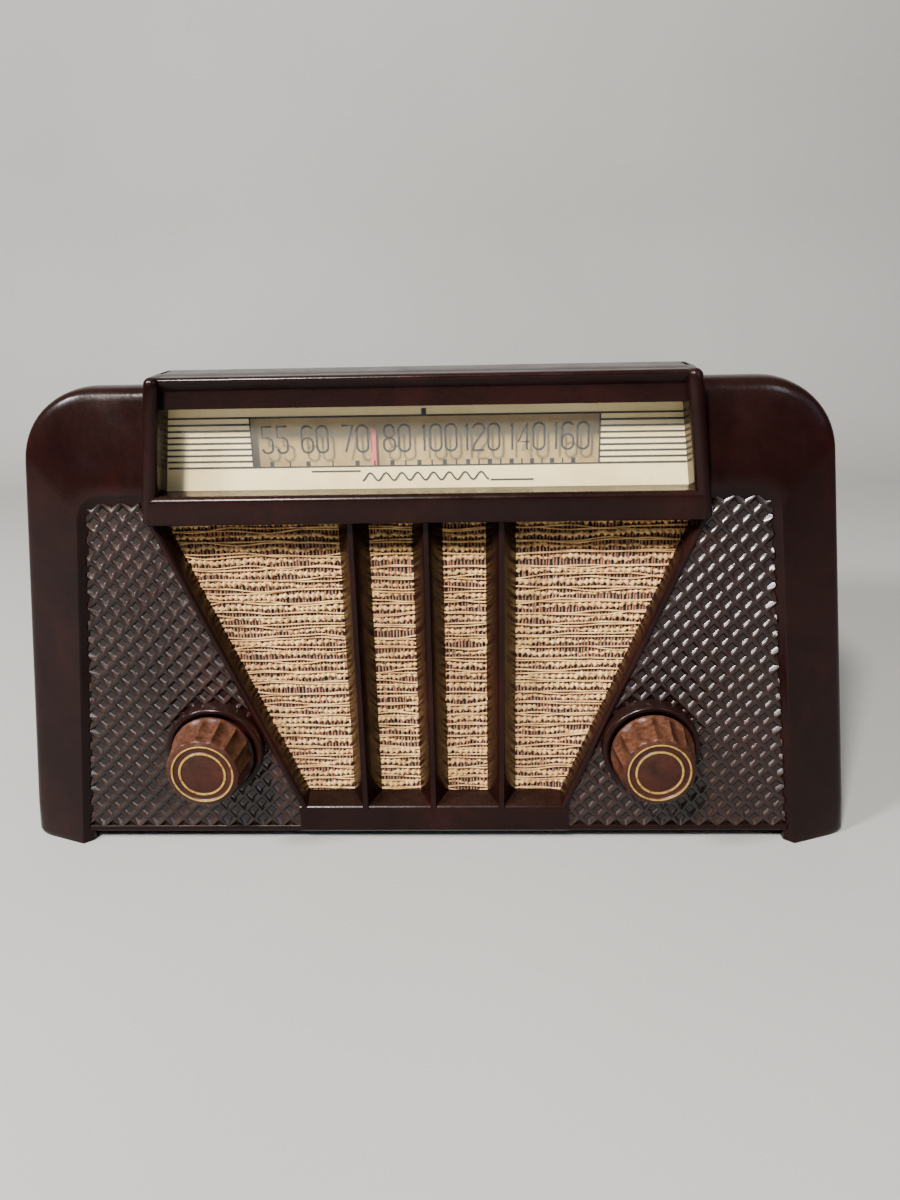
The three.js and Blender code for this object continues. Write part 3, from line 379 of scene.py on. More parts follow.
def yarn():
    look = Look("grille_yarn", Sheen_Weight=0.25, Sheen_Roughness=0.5)
    bundle = look.noise(420, detail=5, roughness=0.65, stretch=(0.5, 1, 1.2))
    base = look.ramp(bundle, (0.3, rgb("#8a6634")), (0.5, rgb("#c49c59")), (0.7, rgb("#e2c283")))
    stain = look.ramp(look.noise(24, detail=4, roughness=0.6), (0.35, 0.0), (0.75, 0.5))
    rosy = look.mix(stain, base, rgb("#a87048"))
    look.colour(rosy)
    look.shader.inputs["Roughness"].default_value = 0.95
    fibres = look.noise(2600, detail=4, roughness=0.7, stretch=(0.35, 1, 1))
    look.bump((fibres, 0.9, 0.0004), (bundle, 0.6, 0.0006))
    return look.material


def warp_thread():
    look = Look("grille_warp", Sheen_Weight=0.2)
    vary = look.noise(500, detail=4, stretch=(1, 1, 0.3))
    look.colour(look.ramp(vary, (0.3, rgb("#5f3822")), (0.6, rgb("#8f5c3c")), (0.8, rgb("#b0805a"))))
    look.shader.inputs["Roughness"].default_value = 0.9
    look.bump((look.noise(3000, detail=3, stretch=(1, 1, 0.4)), 0.8, 0.0003))
    return look.material


# Near-black sheet behind the yarns: painted shade for the dark gaps in the weave.
def gap_shade_sheet():
    look = Look("grille_gap_shade", Roughness=1.0)
    vary = look.noise(300, detail=5)
    look.colour(look.ramp(vary, (0.3, rgb("#0d0805")), (0.7, rgb("#20150c"))))
    look.bump((look.noise(1500, detail=4), 0.8, 0.0004))
    return look.material


def dial_paint():
    look = Look("dial_cream", Specular_IOR_Level=0.4)
    age = look.noise(45, detail=6, roughness=0.65)
    base = look.ramp(age, (0.3, rgb("#d3ba7c")), (0.6, rgb("#e6d29b")), (0.85, rgb("#eedfae")))
    spots = look.ramp(look.noise(900, detail=5, roughness=0.75), (0.62, 0.0), (0.72, 0.55))
    look.colour(look.mix(spots, base, rgb("#a58b5c")))
    look.rough(look.ramp(age, (0.3, 0.4), (0.7, 0.6)))
    look.bump((look.noise(700, detail=4), 0.12, 0.0002))
    return look.material


def print_ink():
    look = Look("print_ink", Roughness=0.7, Specular_IOR_Level=0.1)
    worn = look.noise(1100, detail=5, roughness=0.7)
    look.colour(look.ramp(worn, (0.6, rgb("#180d09")), (0.8, rgb("#3a2217"))))
    look.bump((worn, 0.1, 0.0001))
    return look.material


def clear_glass():
    look = Look("dial_glass", Roughness=0.06, Specular_IOR_Level=0.5, Alpha=0.04)
    look.colour(look.ramp(look.noise(120, detail=5), (0.3, rgb("#b9c2c2")), (0.7, rgb("#dfe2da"))))
    look.bump((look.noise(25, detail=2), 0.02, 0.0003))
    return look.material


def painted(name, dark, mid, light, roughness=(0.4, 0.6), scale=60, fine=800, metal=0.0, bump=0.15):
    """Paint, board, paper or rubber: a mottled colour over a fine grain."""
    look = Look(name, Metallic=metal)
    mottle = look.noise(scale, detail=6, roughness=0.65)
    base = look.ramp(mottle, (0.3, rgb(dark)), (0.55, rgb(mid)), (0.8, rgb(light)))
    grain = look.noise(fine, detail=4, roughness=0.7)
    look.colour(look.mix(look.ramp(grain, (0.55, 0.0), (0.75, 0.35)), base, rgb(dark)))
    look.rough(look.ramp(grain, (0.3, roughness[0]), (0.7, roughness[1])))
    look.bump((grain, bump, 0.0003))
    return look.material


def metal(name, dark, light, roughness=(0.25, 0.45), stretch=(1, 1, 1)):
    """Brushed or rolled metal with a little tarnish."""
    look = Look(name, Metallic=0.95)
    brushed = look.noise(500, detail=5, roughness=0.6, stretch=stretch)
    tarnish = look.noise(70, detail=6, roughness=0.7)
    base = look.ramp(brushed, (0.3, rgb(dark)), (0.7, rgb(light)))
    look.colour(look.mix(look.ramp(tarnish, (0.55, 0.0), (0.8, 0.5)), base, rgb(dark)))
    look.rough(look.ramp(tarnish, (0.3, roughness[0]), (0.75, roughness[1])))
    look.bump((brushed, 0.15, 0.0001))
    return look.material


LOOKS = {
    "bakelite": bakelite("bakelite", 0.06, 0.13),
    # the lattice takes a large share of the grey: painted sheen on its up-facing walls, with some dust
    "lattice": bakelite("bakelite_lattice", 0.55, 0.42),
    "knob": knob_plastic(),
    "gold": gold_paint(),
    "yarn": yarn(),
    "warp": warp_thread(),
    "gap_shade": gap_shade_sheet(),
    "cream": dial_paint(),
    "ink": print_ink(),
    "glass": clear_glass(),
    "chip": painted("chipped_bakelite", "#5d4a40", "#8d7a6c", "#b3a294", (0.5, 0.8), 900, 2500),
    "tan": painted("backplate_tan", "#7d6537", "#a38850", "#b59b63", scale=35, fine=600),
    "pointer": painted("pointer_red", "#9a332e", "#c4504a", "#d86a60", scale=200),
    "fibreboard": painted("back_fibreboard", "#3d2a1b", "#5d4430", "#75583e", (0.8, 0.95), 90, 1500,
                          bump=0.5),
    "board": painted("baffle_board", "#5d4328", "#7c5d3b", "#93714a", (0.85, 0.95), 50, 900, bump=0.4),
    "phenolic": painted("phenolic", "#33210f", "#4f3622", "#674a30", (0.4, 0.6), 90, 1200),
    "paper": painted("cone_paper", "#1d1916", "#2f2a25", "#403931", (0.9, 1.0), 120, 1800, bump=0.5),
    "card": painted("waxed_card", "#6f5836", "#8e7550", "#a88f66", (0.6, 0.8), 60, 900),
    "rubber": painted("inlet_rubber", "#0e0d0c", "#1c1a18", "#2b2825", (0.7, 0.9), 80, 1500),
    "magnet": painted("magnet_grey", "#2c2d2f", "#47494b", "#5c5f61", (0.4, 0.6), 70, 1000, metal=0.6),
    "thread": painted("dial_thread", "#2a241c", "#40382c", "#594f3f", (0.8, 0.95), 900, 3000),
    "steel": metal("steel", "#77797a", "#b4b6b6"),
    "aluminium": metal("aluminium", "#8d9092", "#cfd1d2", (0.22, 0.4), (1, 0.15, 1)),
    "brass": metal("brass", "#7d6330", "#c2a25a"),
    "copper": metal("copper", "#6b3620", "#b8714a", (0.3, 0.5), (0.1, 1, 1)),
    "bulb": painted("valve_glass", "#5f676a", "#99a3a5", "#c4ccce", (0.05, 0.15), 40, 400, bump=0.02),
}

# ---------- cabinet ----------
def housing_row(half, top, radius, y, toe=0.0, arc_steps=14, side_steps=10):
    """One arch over the radio, from the right foot round the top to the left foot; toe rounds the feet."""
    tilt = math.atan(LEAN)
    centre_z = top - radius
    centre_x = lean(half, top) - radius * math.tan(math.pi / 4 - tilt / 2)
    first = (centre_x + radius * math.cos(tilt), centre_z + radius * math.sin(tilt))
    side = []
    for k in range(side_steps):
        t = k / side_steps
        side.append((lerp(half, first[0], t), lerp(0, first[1], t)))
    bend = arc((centre_x, centre_z), radius, math.degrees(tilt), 90, arc_steps)
    rounding = [(toe * 2.6, 0), (toe * 1.25, 0.9), (toe * 0.4, 2.4)]
    right = [(lean(half, z) - inset, z) for inset, z in rounding] + side[1:] + bend
    left = [(-x, z) for x, z in reversed(right)]
    return [(x, y, z) for x, z in right + left]


# how the front face runs from the pocket (0) to the outside (1): share of the way, and y
FRONT_FACE = [
    (-0.160, 1.6), (-0.150, 0.9), (-0.022, -1.12), (-0.008, -1.38), (0.012, -1.5),
    (0.25, 0.0), (0.5, 1.65), (0.75, 3.25), (0.87, 4.1), (0.925, 4.65), (0.962, 5.4),
    (0.985, 6.6), (0.996, 8.6), (1.0, 11.5),
]


def front_row(t, y):
    return housing_row(lerp(POCKET_HALF, HALF, t), lerp(POCKET_TOP, SHOULDER, t),
                       lerp(POCKET_CORNER, CORNER, max(t, -0.1)), y, max(t, 0))


def outer_row(y, inset=0.0):
    top = SHOULDER - top_drop(y) - inset
    return housing_row(HALF - inset, top, CORNER - inset, y, toe=1 - inset / WALL)


def housing_arch():
    rows = [front_row(t, y) for t, y in FRONT_FACE]
    rows += [outer_row(y) for y in (30, 60, 90, 120, 149)]
    rows += [outer_row(149.7, 0.3), outer_row(DEPTH, 1.0), outer_row(DEPTH, WALL / 2)]
    rows += [outer_row(147, WALL / 2), outer_row(146.99, WALL), outer_row(80, WALL), outer_row(13, WALL)]
    rows += [front_row(-0.165, 6.0)]
    verts, faces = skin(rows, around=False, ends=False, ring=True)
    count = len(rows[0])
    faces.append(tuple(r * count for r in range(len(rows))))
    faces.append(tuple(r * count + count - 1 for r in reversed(range(len(rows)))))
    return verts, faces


def to_bmesh(verts, faces):
    bm = bmesh.new()
    made = [bm.verts.new(metres(*v)) for v in verts]
    for face in faces:
        bm.faces.new([made[i] for i in face])
    bmesh.ops.recalc_face_normals(bm, faces=bm.faces)
    return bm


def subtract(bm, cutter):
    """The first bmesh with the second taken away."""
    objects = []
    for each in (bm, cutter):
        mesh = bpy.data.meshes.new("cut")
        each.to_mesh(mesh)
        each.free()
        objects.append(bpy.data.objects.new("cut", mesh))
        bpy.context.scene.collection.objects.link(objects[-1])
    body, tool = objects
    modifier = body.modifiers.new("cut", "BOOLEAN")
    modifier.operation = "DIFFERENCE"
    modifier.solver = "EXACT"
    modifier.object = tool
    done = bmesh.new()
    done.from_mesh(body.evaluated_get(bpy.context.evaluated_depsgraph_get()).to_mesh())
    for each in objects:
        bpy.data.meshes.remove(each.data)
    return done


def dial_cutter():
    def at(z):
        return bezel_half(z) - POST_RADIUS
    low, high = BEZEL_BOTTOM + 2, 155.2
    outline = [(-at(low), low), (at(low), low), (at(high), high), (-at(high), high)]
    return skin([[(x, y, z) for x, z in outline] for y in (-8, 16)])


def arch_with_opening():
    return subtract(to_bmesh(*housing_arch()), to_bmesh(*dial_cutter()))


def floor_and_feet():
    parts = [rounded_block((-HALF + 3, HALF - 3), (5, 147), (FOOT, FOOT + WALL), 0.5)]
    for side in (-1, 1):
        x = sorted((side * FOOT_INNER, side * (HALF - 3.2)))
        parts.append(rounded_block(x, (5, DEPTH - 0.4), (0.02, FOOT + 1), 0.7))
    return parts


def front_panels():
    """The flats behind the lattice, one on each side of the grille."""
    parts = []
    for side in (-1, 1):
        outline = [(grille_half(FOOT) + 2, FOOT), (lean(POCKET_HALF, FOOT), FOOT),
                   (lean(POCKET_HALF, POCKET_TOP), POCKET_TOP - 1),
                   (grille_half(POCKET_TOP) - 3, POCKET_TOP - 1)]
        outline = [(side * x, z) for x, z in outline]
        parts.append(skin([[(x, y, z) for x, z in outline] for y in (1.4, 5)]))
    return parts


def lattice(side):
    """Sunk diamonds with flat floors between thin ridges, clipped to the pocket and the grille."""
    bm = bmesh.new()
    corners = {}

    def corner(i, j):
        if (i, j) not in corners:
            corners[i, j] = bm.verts.new(metres(side * i * LATTICE, LATTICE_RIDGE, j * LATTICE))
        return corners[i, j]

    for i in range(11, 41):
        for j in range(1, 40):
            if (i + j) % 2:
                continue
            around = ((i + 1, j), (i, j + 1), (i - 1, j), (i, j - 1))
            rings = [[corner(*at) for at in around]]
            for share, y in ((0.93, LATTICE_RIDGE + 0.06), (0.45, LATTICE_FLOOR)):
                ring = []
                for a, b in around:
                    x = side * lerp(i, a, share) * LATTICE
                    z = lerp(j, b, share) * LATTICE
                    ring.append(bm.verts.new(metres(x, y, z)))
                rings.append(ring)
            for outer, inner in zip(rings, rings[1:]):
                for k in range(4):
                    bm.faces.new((outer[k], outer[(k + 1) % 4], inner[(k + 1) % 4], inner[k]))
            bm.faces.new(rings[-1])
    clips = [
        ((side * 122.9, 0, 0), (side, 0, LEAN)),
        ((0, 0, 123.6), (0, 0, 1)),
        ((0, 0, LATTICE_BOTTOM), (0, 0, -1)),
        ((side * (GRILLE_HALF - 0.8), 0, GRILLE_BOTTOM), (-side, 0, GRILLE_SPREAD)),
    ]
    for place, normal in clips:
        geometry = bm.verts[:] + bm.edges[:] + bm.faces[:]
        bmesh.ops.bisect_plane(bm, geom=geometry, plane_co=metres(*place), plane_no=normal,
                               clear_outer=True, dist=1e-7)
    border = [e for e in bm.edges if e.is_boundary]
    walls = bmesh.ops.extrude_edge_only(bm, edges=border)["geom"]
    for v in (g for g in walls if isinstance(g, bmesh.types.BMVert)):
        v.co.y = metres(0, 3, 0).y
    bmesh.ops.holes_fill(bm, edges=[e for e in bm.edges if e.is_boundary], sides=0)
    return bm


def panel_ledge():
    """The narrow lip under the lattice."""
    top = LATTICE_BOTTOM
    profile = [(5, FOOT), (-0.2, FOOT), (LATTICE_RIDGE, FOOT + 0.3)]
    profile += [(LATTICE_RIDGE, top - 0.1), (-0.3, top), (5, top + 0.1)]
    return along_x(profile, lambda z: lean(POCKET_HALF, z) - 2)


def grille_ridge(side):
    """The raised bead along one leaning edge of the grille, and its wall back to the cloth."""
    slope = math.hypot(1, GRILLE_SPREAD)
    section = [(0, 4), (0.1, 0.3)] + arc((-1.2, 0.2), 1.2, 0, -180, 8)
    section += [(-GRILLE_RIM, 0.6), (-GRILLE_RIM, CLOTH_Y), (1.5, CLOTH_Y), (1.5, 4)]
    rows = []
    for z in (FOOT + 4, GRILLE_BOTTOM, 50, 85, BEZEL_BOTTOM + 4):
        rows.append([(side * (grille_half(z) + n * slope), y, z) for n, y in section])
    return skin(rows)


def grille_bar(x):
    nose = BAR_NOSE / 2
    section = [(-BAR_BASE / 2, CLOTH_Y), (-nose, RIM_FRONT + 0.25), (-nose + 0.25, RIM_FRONT),
               (nose - 0.25, RIM_FRONT), (nose, RIM_FRONT + 0.25), (BAR_BASE / 2, CLOTH_Y)]
    return skin([[(x + u, y, z) for u, y in section] for z in (12.9, 50, 85, BEZEL_BOTTOM + 3)])


def sill():
    profile = [(5, FOOT), (-0.4, FOOT), (RIM_FRONT, FOOT + 0.6)]
    profile += [(y, z) for y, z in arc((1.1, 13.0), 2.1, 180, 95, 8)]
    profile += [(CLOTH_Y + 0.2, 16.0), (CLOTH_Y + 0.2, FOOT + 2), (5, FOOT + 2)]
    return along_x(profile, lambda z: GRILLE_HALF)


def bezel_post(side):
    def section(z, inset=0.0):
        middle = side * (bezel_half(z) - POST_RADIUS)
        radius = POST_RADIUS - inset
        front = arc((0, BEZEL_FRONT + POST_RADIUS), radius, 180, 360, 12)
        back = 5.5 if z < HOOD_STEP else HOOD_BACK
        rear = [(middle + radius, back, z), (middle - radius, back, z)]
        return [(middle + u, y, z) for u, y in front] + rear
    rows = [section(BEZEL_BOTTOM + 0.6, 0.5), section(BEZEL_BOTTOM + 1.4, 0.1), section(BEZEL_BOTTOM + 2.6)]
    rows += [section(z) for z in (135, 150, 155.9, 156.1, 159.4)]
    rows += [section(BEZEL_TOP - 2.2 * (1 - math.sin(a)), 1.9 * (1 - math.cos(a)))
             for a in (math.radians(d) for d in (20, 40, 60, 75, 90))]
    return skin(rows)


def hood():
    """The visor between the posts: an undercut face over a short lit step."""
    profile = [(HOOD_BACK, BEZEL_TOP - 0.1), (-2.3, BEZEL_TOP - 0.3)]
    profile += arc((-2.5, BEZEL_TOP - 1.5), 1.2, 90, 210, 6)
    profile += [(0.7, 156.2), (1.0, 155.9), (0.7, 155.6), (-0.2, 153.2)]
    profile += arc((0.35, 153.0), 0.6, 180, 270, 3)
    profile += [(5.4, 152.4), (5.4, HOOD_STEP), (HOOD_BACK, HOOD_STEP)]
    return along_x(profile, lambda z: bezel_half(z) - POST_RADIUS)


def rail():
    profile = [(5.4, 126.1), (4.4, 126.1), (-3.2, 126.35)]
    profile += arc((-3.7, 124.6), 1.8, 78, 180, 7)
    profile += arc((-4.5, BEZEL_BOTTOM + 1.0), 1.0, 180, 270, 4)
    profile += [(CLOTH_Y, BEZEL_BOTTOM), (CLOTH_Y, 124.6), (5.4, 124.6)]
    return along_x(profile, lambda z: bezel_half(z) - POST_RADIUS)


# middle, height and length of each scratch on the rail
SCRATCHES = (
    (-64, 119.6, 3.2), (-57, 119.0, 5.0), (-52, 119.2, 4.0), (-60, 120.3, 1.8),
    (54, 121.6, 2.2), (58, 122.6, 2.8), (59.5, 119.4, 2.4), (-20, 121.9, 1.6),
)


def chips():
    """A few short scratches and chips on the face of the rail."""
    rng = random.Random(7)
    piece = Piece("rail_wear")
    for middle, height, length in SCRATCHES:
        slope = rng.uniform(-0.5, 0.3)
        bow = rng.uniform(-0.35, 0.35)
        points = []
        for k in range(9):
            u = k / 4 - 1
            points.append((middle + u * length / 2, height + slope * u + bow * (1 - u * u)))
        piece.add(*ribbon(points, rng.uniform(0.16, 0.4), BEZEL_FRONT + 0.01, 0.1), LOOKS["chip"])
    made = piece.build("radio")


def raised_band():
    """The band that carries the width of the dial frame over the top to the back."""
    rows = []
    stations = ((-1.0, 1.2, 0.9), (1.5, 0.3, 0.2), (6, 0.0, 0.0), (BAND_CREST_Y, 0, 0), (60, 0, 0),
                (110, 0, 0), (148.6, 0, 0), (149.6, 0.3, 0.3), (DEPTH, 1.0, 1.0))
    for y, inset, sunk in stations:
        fall = 0 if y < BAND_CREST_Y else BACK_FALL * (y - BAND_CREST_Y) / (DEPTH - BAND_CREST_Y)
        top = BEZEL_TOP - sunk - fall
        low = top - 9
        half = bezel_half(BEZEL_TOP) - inset
        right = [(half + LEAN * 9, low), (half + LEAN * 1.6, top - 1.6)]
        right += arc((half - 1.4, top - 1.6), 1.6, 20, 90, 5)
        rows.append([(x, y, z) for x, z in right + [(-x, z) for x, z in reversed(right)]])
    return skin(rows)


def boss(side):
    profile = [(9, 4), (BOSS_RADIUS, 4), (BOSS_RADIUS, BOSS_FRONT + 1.0)]
    profile += [(BOSS_RADIUS - 1.0 + 1.0 * math.cos(a), BOSS_FRONT + 1.0 - 1.0 * math.sin(a))
                for a in (math.radians(d) for d in (25, 50, 75, 90))]
    profile += [(BOSS_RADIUS - 1.7, BOSS_FRONT + 0.15), (BOSS_RADIUS - 2.1, BOSS_FRONT + 0.6),
                (BOSS_RADIUS - 2.2, -2.2), (4.0, -2.2), (4.0, 4)]
    return lathe(profile, side * CONTROL_X, CONTROL_Z, 72)


def cabinet():
    piece = Piece("cabinet_shell")
    look = LOOKS["bakelite"]
    piece.add_bmesh(arch_with_opening(), look)
    parts = floor_and_feet() + front_panels()
    parts += [panel_ledge(), sill(), hood(), rail(), raised_band()]
    parts += [grille_bar(place * BAR_PITCH) for place in (-1, 0, 1)]
    for side in (-1, 1):
        parts += [grille_ridge(side), bezel_post(side), boss(side)]
        piece.add_bmesh(lattice(side), LOOKS["lattice"])
    for verts, faces in parts:
        piece.add(verts, faces, look)
    shell = piece.build("radio")
    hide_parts("cabinet")


# ---------- knobs ----------
# radius and y of the grooved face, from the rim to the middle
KNOB_FACE = (
    (11.2, -19.35), (10.5, -19.55), (10.2, -19.7), (9.6, -19.7), (9.3, -19.45), (7.9, -19.45),
    (7.7, -19.65), (7.1, -19.65), (6.9, -19.5), (5.5, -19.62), (3.0, -19.72), (0.3, -19.75),
)


def knob(side, name, body):
    x, z = side * CONTROL_X, CONTROL_Z
    per_flute = 10

    def row(y, radius, depth):
        points = []
        for k in range(FLUTES * per_flute):
            u = 2 * (k % per_flute) / per_flute - 1
            r = radius - depth * (1 - u * u)
            a = math.tau * k / (FLUTES * per_flute)
            points.append((x + r * math.cos(a), y, z + r * math.sin(a)))
        return points

    rows = [row(KNOB_BACK, 5, 0), row(KNOB_BACK, 13.3, 0), row(KNOB_BACK - 0.4, KNOB_RADIUS, 0),
            row(KNOB_BACK - 1.3, KNOB_RADIUS, 0), row(KNOB_BACK - 1.6, KNOB_RADIUS - 0.05, 0.25),
            row(KNOB_BACK - 2.0, KNOB_RADIUS - 0.1, 0.85), row(KNOB_BACK - 2.8, KNOB_RADIUS - 0.2, 1.25)]
    for t in (0.3, 0.65, 1.0):
        y = lerp(KNOB_BACK - 2.8, KNOB_SHOULDER, t)
        rows.append(row(y, lerp(KNOB_RADIUS - 0.2, FACE_RADIUS, t), lerp(1.25, 0.75, t)))
    rows += [row(-18.9, FACE_RADIUS - 0.15, 0.5), row(-19.2, FACE_RADIUS - 0.5, 0.2)]
    rows += [row(y, radius, 0) for radius, y in KNOB_FACE]
    piece = Piece(f"{name}_fluted")
    piece.add(*skin(rows), LOOKS["knob"])
    made = piece.build(body, crease=38)
    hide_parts(name)
    rings = Piece(f"{name}_rings")
    for low, high, y in ((9.62, 10.15, -19.75), (7.05, 7.7, -19.7)):
        middle = (low + high) / 2
        profile = [(low, y + 0.2), (low, y), (middle, y - 0.1), (high, y), (high, y + 0.2)]
        rings.add(*lathe(profile, x, z, 96), LOOKS["gold"])
    made = rings.build(body)


# ---------- dial print ----------
def ribbon(points, width, y=PRINT_Y, thick=0.05):
    """A flat printed line along x, z points."""
    left, right = [], []
    for i, (px, pz) in enumerate(points):
        before = points[max(i - 1, 0)]
        after = points[min(i + 1, len(points) - 1)]
        dx, dz = after[0] - before[0], after[1] - before[1]
        size = math.hypot(dx, dz)
        nx, nz = -dz / size * width / 2, dx / size * width / 2
        left.append((px + nx, pz + nz))
        right.append((px - nx, pz - nz))
    rows = []
    for (lx, lz), (rx, rz) in zip(left, right):
        rows.append([(lx, y, lz), (rx, y, rz), (rx, y + thick, rz), (lx, y + thick, lz)])
    return skin(rows)


def loop(left, right, bottom, top, start=90, sweep=360):
    """A tall rounded loop as a list of points, or part of it."""
    radius = (right - left) / 2
    middle = (left + right) / 2
    points = []
    for k in range(25):
        a = math.radians(start + sweep * k / 24)
        cz = top - radius if math.sin(a) >= 0 else bottom + radius
        points.append((middle + radius * math.cos(a), cz + radius * math.sin(a)))
    return points


def digit(figure, width, height):
    """Strokes of one thin upright figure in a box from 0, 0."""
    w, h = width, height
    bend = w * 0.45
    strokes = {
        "0": [loop(0, w, 0, h)],
        "1": [[(w * 0.5, 0), (w * 0.5, h)], [(w * 0.5, h), (w * 0.15, h * 0.86)]],
        "2": [arc((w / 2, h - w / 2), w / 2, 170, -25, 10) + [(w * 0.1, h * 0.22), (0, 0)],
              [(0, 0), (w, 0)]],
        "4": [[(w * 0.78, 0), (w * 0.78, h), (0, h * 0.3), (w, h * 0.3)]],
        "5": [[(w * 0.95, h), (w * 0.05, h), (w * 0.05, h * 0.58)]
              + arc((w - bend - w * 0.06, h * 0.58 - bend), bend, 90, 0, 5)
              + [(w * 0.94, bend)] + arc((w - bend - w * 0.06, bend), bend, 0, -90, 5)
              + arc((bend, bend), bend, -90, -170, 4)],
        "6": [loop(0, w, 0, h * 0.56), arc((w * 0.5, h - w * 0.5), w * 0.5, 30, 180, 8) + [(0, h * 0.3)]],
        "7": [[(0, h), (w, h), (w * 0.32, 0)]],
        "8": [loop(0, w, 0, h * 0.52), loop(w * 0.06, w * 0.94, h * 0.52, h)],
    }
    return strokes[figure]


NUMBERS = (("55", -46.8), ("60", -34.3), ("70", -21.7), ("80", -8.6),
           ("100", 4.7), ("120", 18.0), ("140", 32.0), ("160", 45.6))
WIDE_TICKS = (-48.3, -36.8, -21.3, -10.3, -1.8, 6.2, 13.5, 20.3, 27.1, 33.5, 39.7, 46.3)


def dial_print():
    piece = Piece("dial_printing")
    ink = LOOKS["ink"]
    figure_height, figure_low, gap = 8.3, 137.2, 1.2
    tick_top = WINDOW_BOTTOM + 1.7
    for text, centre in NUMBERS:
        widths = [1.2 if figure == "1" else 3.5 for figure in text]
        left = centre - (sum(widths) + gap * (len(text) - 1)) / 2
        for figure, width in zip(text, widths):
            for stroke in digit(figure, width, figure_height):
                piece.add(*ribbon([(left + u, figure_low + v) for u, v in stroke], 0.7), ink)
            left += width + gap
    for x in WIDE_TICKS:
        piece.add(*ribbon([(x, WINDOW_BOTTOM), (x, tick_top)], 1.35), ink)
    for a, b in zip(WIDE_TICKS, WIDE_TICKS[1:]):
        middle = (a + b) / 2
        piece.add(*ribbon([(middle, WINDOW_BOTTOM), (middle, tick_top)], 0.5), ink)
    for side in (-1, 1):
        for k in range(8):
            z = lerp(WINDOW_BOTTOM, WINDOW_TOP - 1.9, k / 7)
            piece.add(*ribbon([(side * WINDOW_HALF, z), (side * DIAL_EDGE, z)], 0.62), ink)
        upright = [(side * WINDOW_HALF, WINDOW_BOTTOM), (side * WINDOW_HALF, WINDOW_TOP)]
        piece.add(*ribbon(upright, 0.5), ink)
    for z, width in ((WINDOW_BOTTOM - 0.1, 0.5), (WINDOW_TOP + 0.2, 0.6)):
        piece.add(*ribbon([(-DIAL_EDGE, z), (DIAL_EDGE, z)], width, PRINT_Y + 0.06), ink)
    piece.add(*ribbon([(0, WINDOW_TOP + 0.4), (0, WINDOW_TOP + 2.4)], 1.5), ink)
    ornament(piece, ink)
    made = piece.build("radio")


def ornament(piece, ink):
    """A plain row of waves between two lines, where a dial usually carries lettering."""
    z = 129.3
    piece.add(*ribbon([(-36, 131.2), (-20.5, 131.2)], 0.5), ink)
    piece.add(*ribbon([(20.5, 127.9), (34, 127.9)], 0.5), ink)
    for k in range(8):
        centre = -17.5 + k * 5
        wave = [(centre + 2.5 * u, z + 1.2 * math.cos(math.pi * u)) for u in (i / 8 - 1 for i in range(17))]
        piece.add(*ribbon(wave, 0.55, PRINT_Y + 0.01 * (k % 2)), ink)


# ---------- grille cloth ----------
CLOTH_BOTTOM = 13.2
CLOTH_TOP = 118.6
WARP_Y = 8.98


def cloth_half(z):
    return grille_half(z) + 2.4


def tube(centres, radii, sides=6):
    """A closed tube over centres (x, y, z) that runs along X or Z, with a radius at each."""
    rows = []
    upright = abs(centres[-1][2] - centres[0][2]) > abs(centres[-1][0] - centres[0][0])
    for (x, y, z), r in zip(centres, radii):
        ring = []
        for k in range(sides):
            a = math.tau * (k + 0.5) / sides
            u, v = r * math.cos(a), r * math.sin(a)
            ring.append((x + u, y + v, z) if upright else (x, y + v, z + u))
        rows.append(ring)
    return skin(rows)


def smooth_random(draw, count, every):
    """count values that wander between random values set every few steps."""
    knots = [draw() for _ in range(count // every + 3)]
    values = []
    for i in range(count):
        k, t = divmod(i / every, 1)
        t = t * t * (3 - 2 * t)
        values.append(lerp(knots[int(k)], knots[int(k) + 1], t))
    return values


def weft(rng):
    """Rows of nubs with a pair of thin threads between them, across the grille."""
    piece = Piece("grille_weft_yarns")
    z = CLOTH_BOTTOM + 1.4
    while z < CLOTH_TOP - 0.5:
        slub_yarn(piece, rng, z)
        for gap in (1.75, 2.35):
            thin_yarn(piece, rng, z + gap)
        z += rng.uniform(3.9, 4.4)
    return piece.build("radio", crease=180)


def slub_yarn(piece, rng, z):
    """One boucle yarn: a row of nubs that sinks in places, where the warp shows."""
    half = cloth_half(z)
    step = 0.34
    count = int(2 * half / step)
    presence = smooth_random(lambda: rng.choice((0.2, 0.75, 1.0, 1.0)), count, 30)
    size = smooth_random(lambda: rng.uniform(0.8, 1.35), count, 5)
    spacing = smooth_random(lambda: rng.uniform(1.5, 2.3), count, 6)
    drift = smooth_random(lambda: rng.uniform(-0.6, 0.6), count, 36)
    wobble = smooth_random(lambda: rng.uniform(-0.45, 0.45), count, 5)
    lift = smooth_random(lambda: rng.uniform(-0.2, 0.2), count, 5)
    centres, radii = [], []
    phase = rng.random()
    for i in range(count):
        x = lerp(-half, half, i / (count - 1))
        phase += step / spacing[i]
        nub = 0.5 - 0.5 * math.cos(math.tau * phase)
        centres.append((x, lerp(9.2, 8.8, presence[i]) + lift[i] - 0.2 * nub, z + drift[i] + wobble[i]))
        radii.append(lerp(0.4, 1.0, presence[i]) * lerp(0.36, 1.05, nub) * size[i])
    piece.add(*tube(centres, radii, 7), LOOKS["yarn"])


def thin_yarn(piece, rng, z):
    half = cloth_half(z)
    count = int(2 * half / 1.2)
    drift = smooth_random(lambda: rng.uniform(-0.85, 0.85), count, 10)
    lift = smooth_random(lambda: rng.uniform(-0.2, 0.2), count, 3)
    thick = smooth_random(lambda: rng.uniform(0.2, 0.34), count, 4)
    centres = [(lerp(-half, half, i / (count - 1)), 8.3 + lift[i], z + drift[i]) for i in range(count)]
    piece.add(*tube(centres, thick, 5), LOOKS["yarn"])


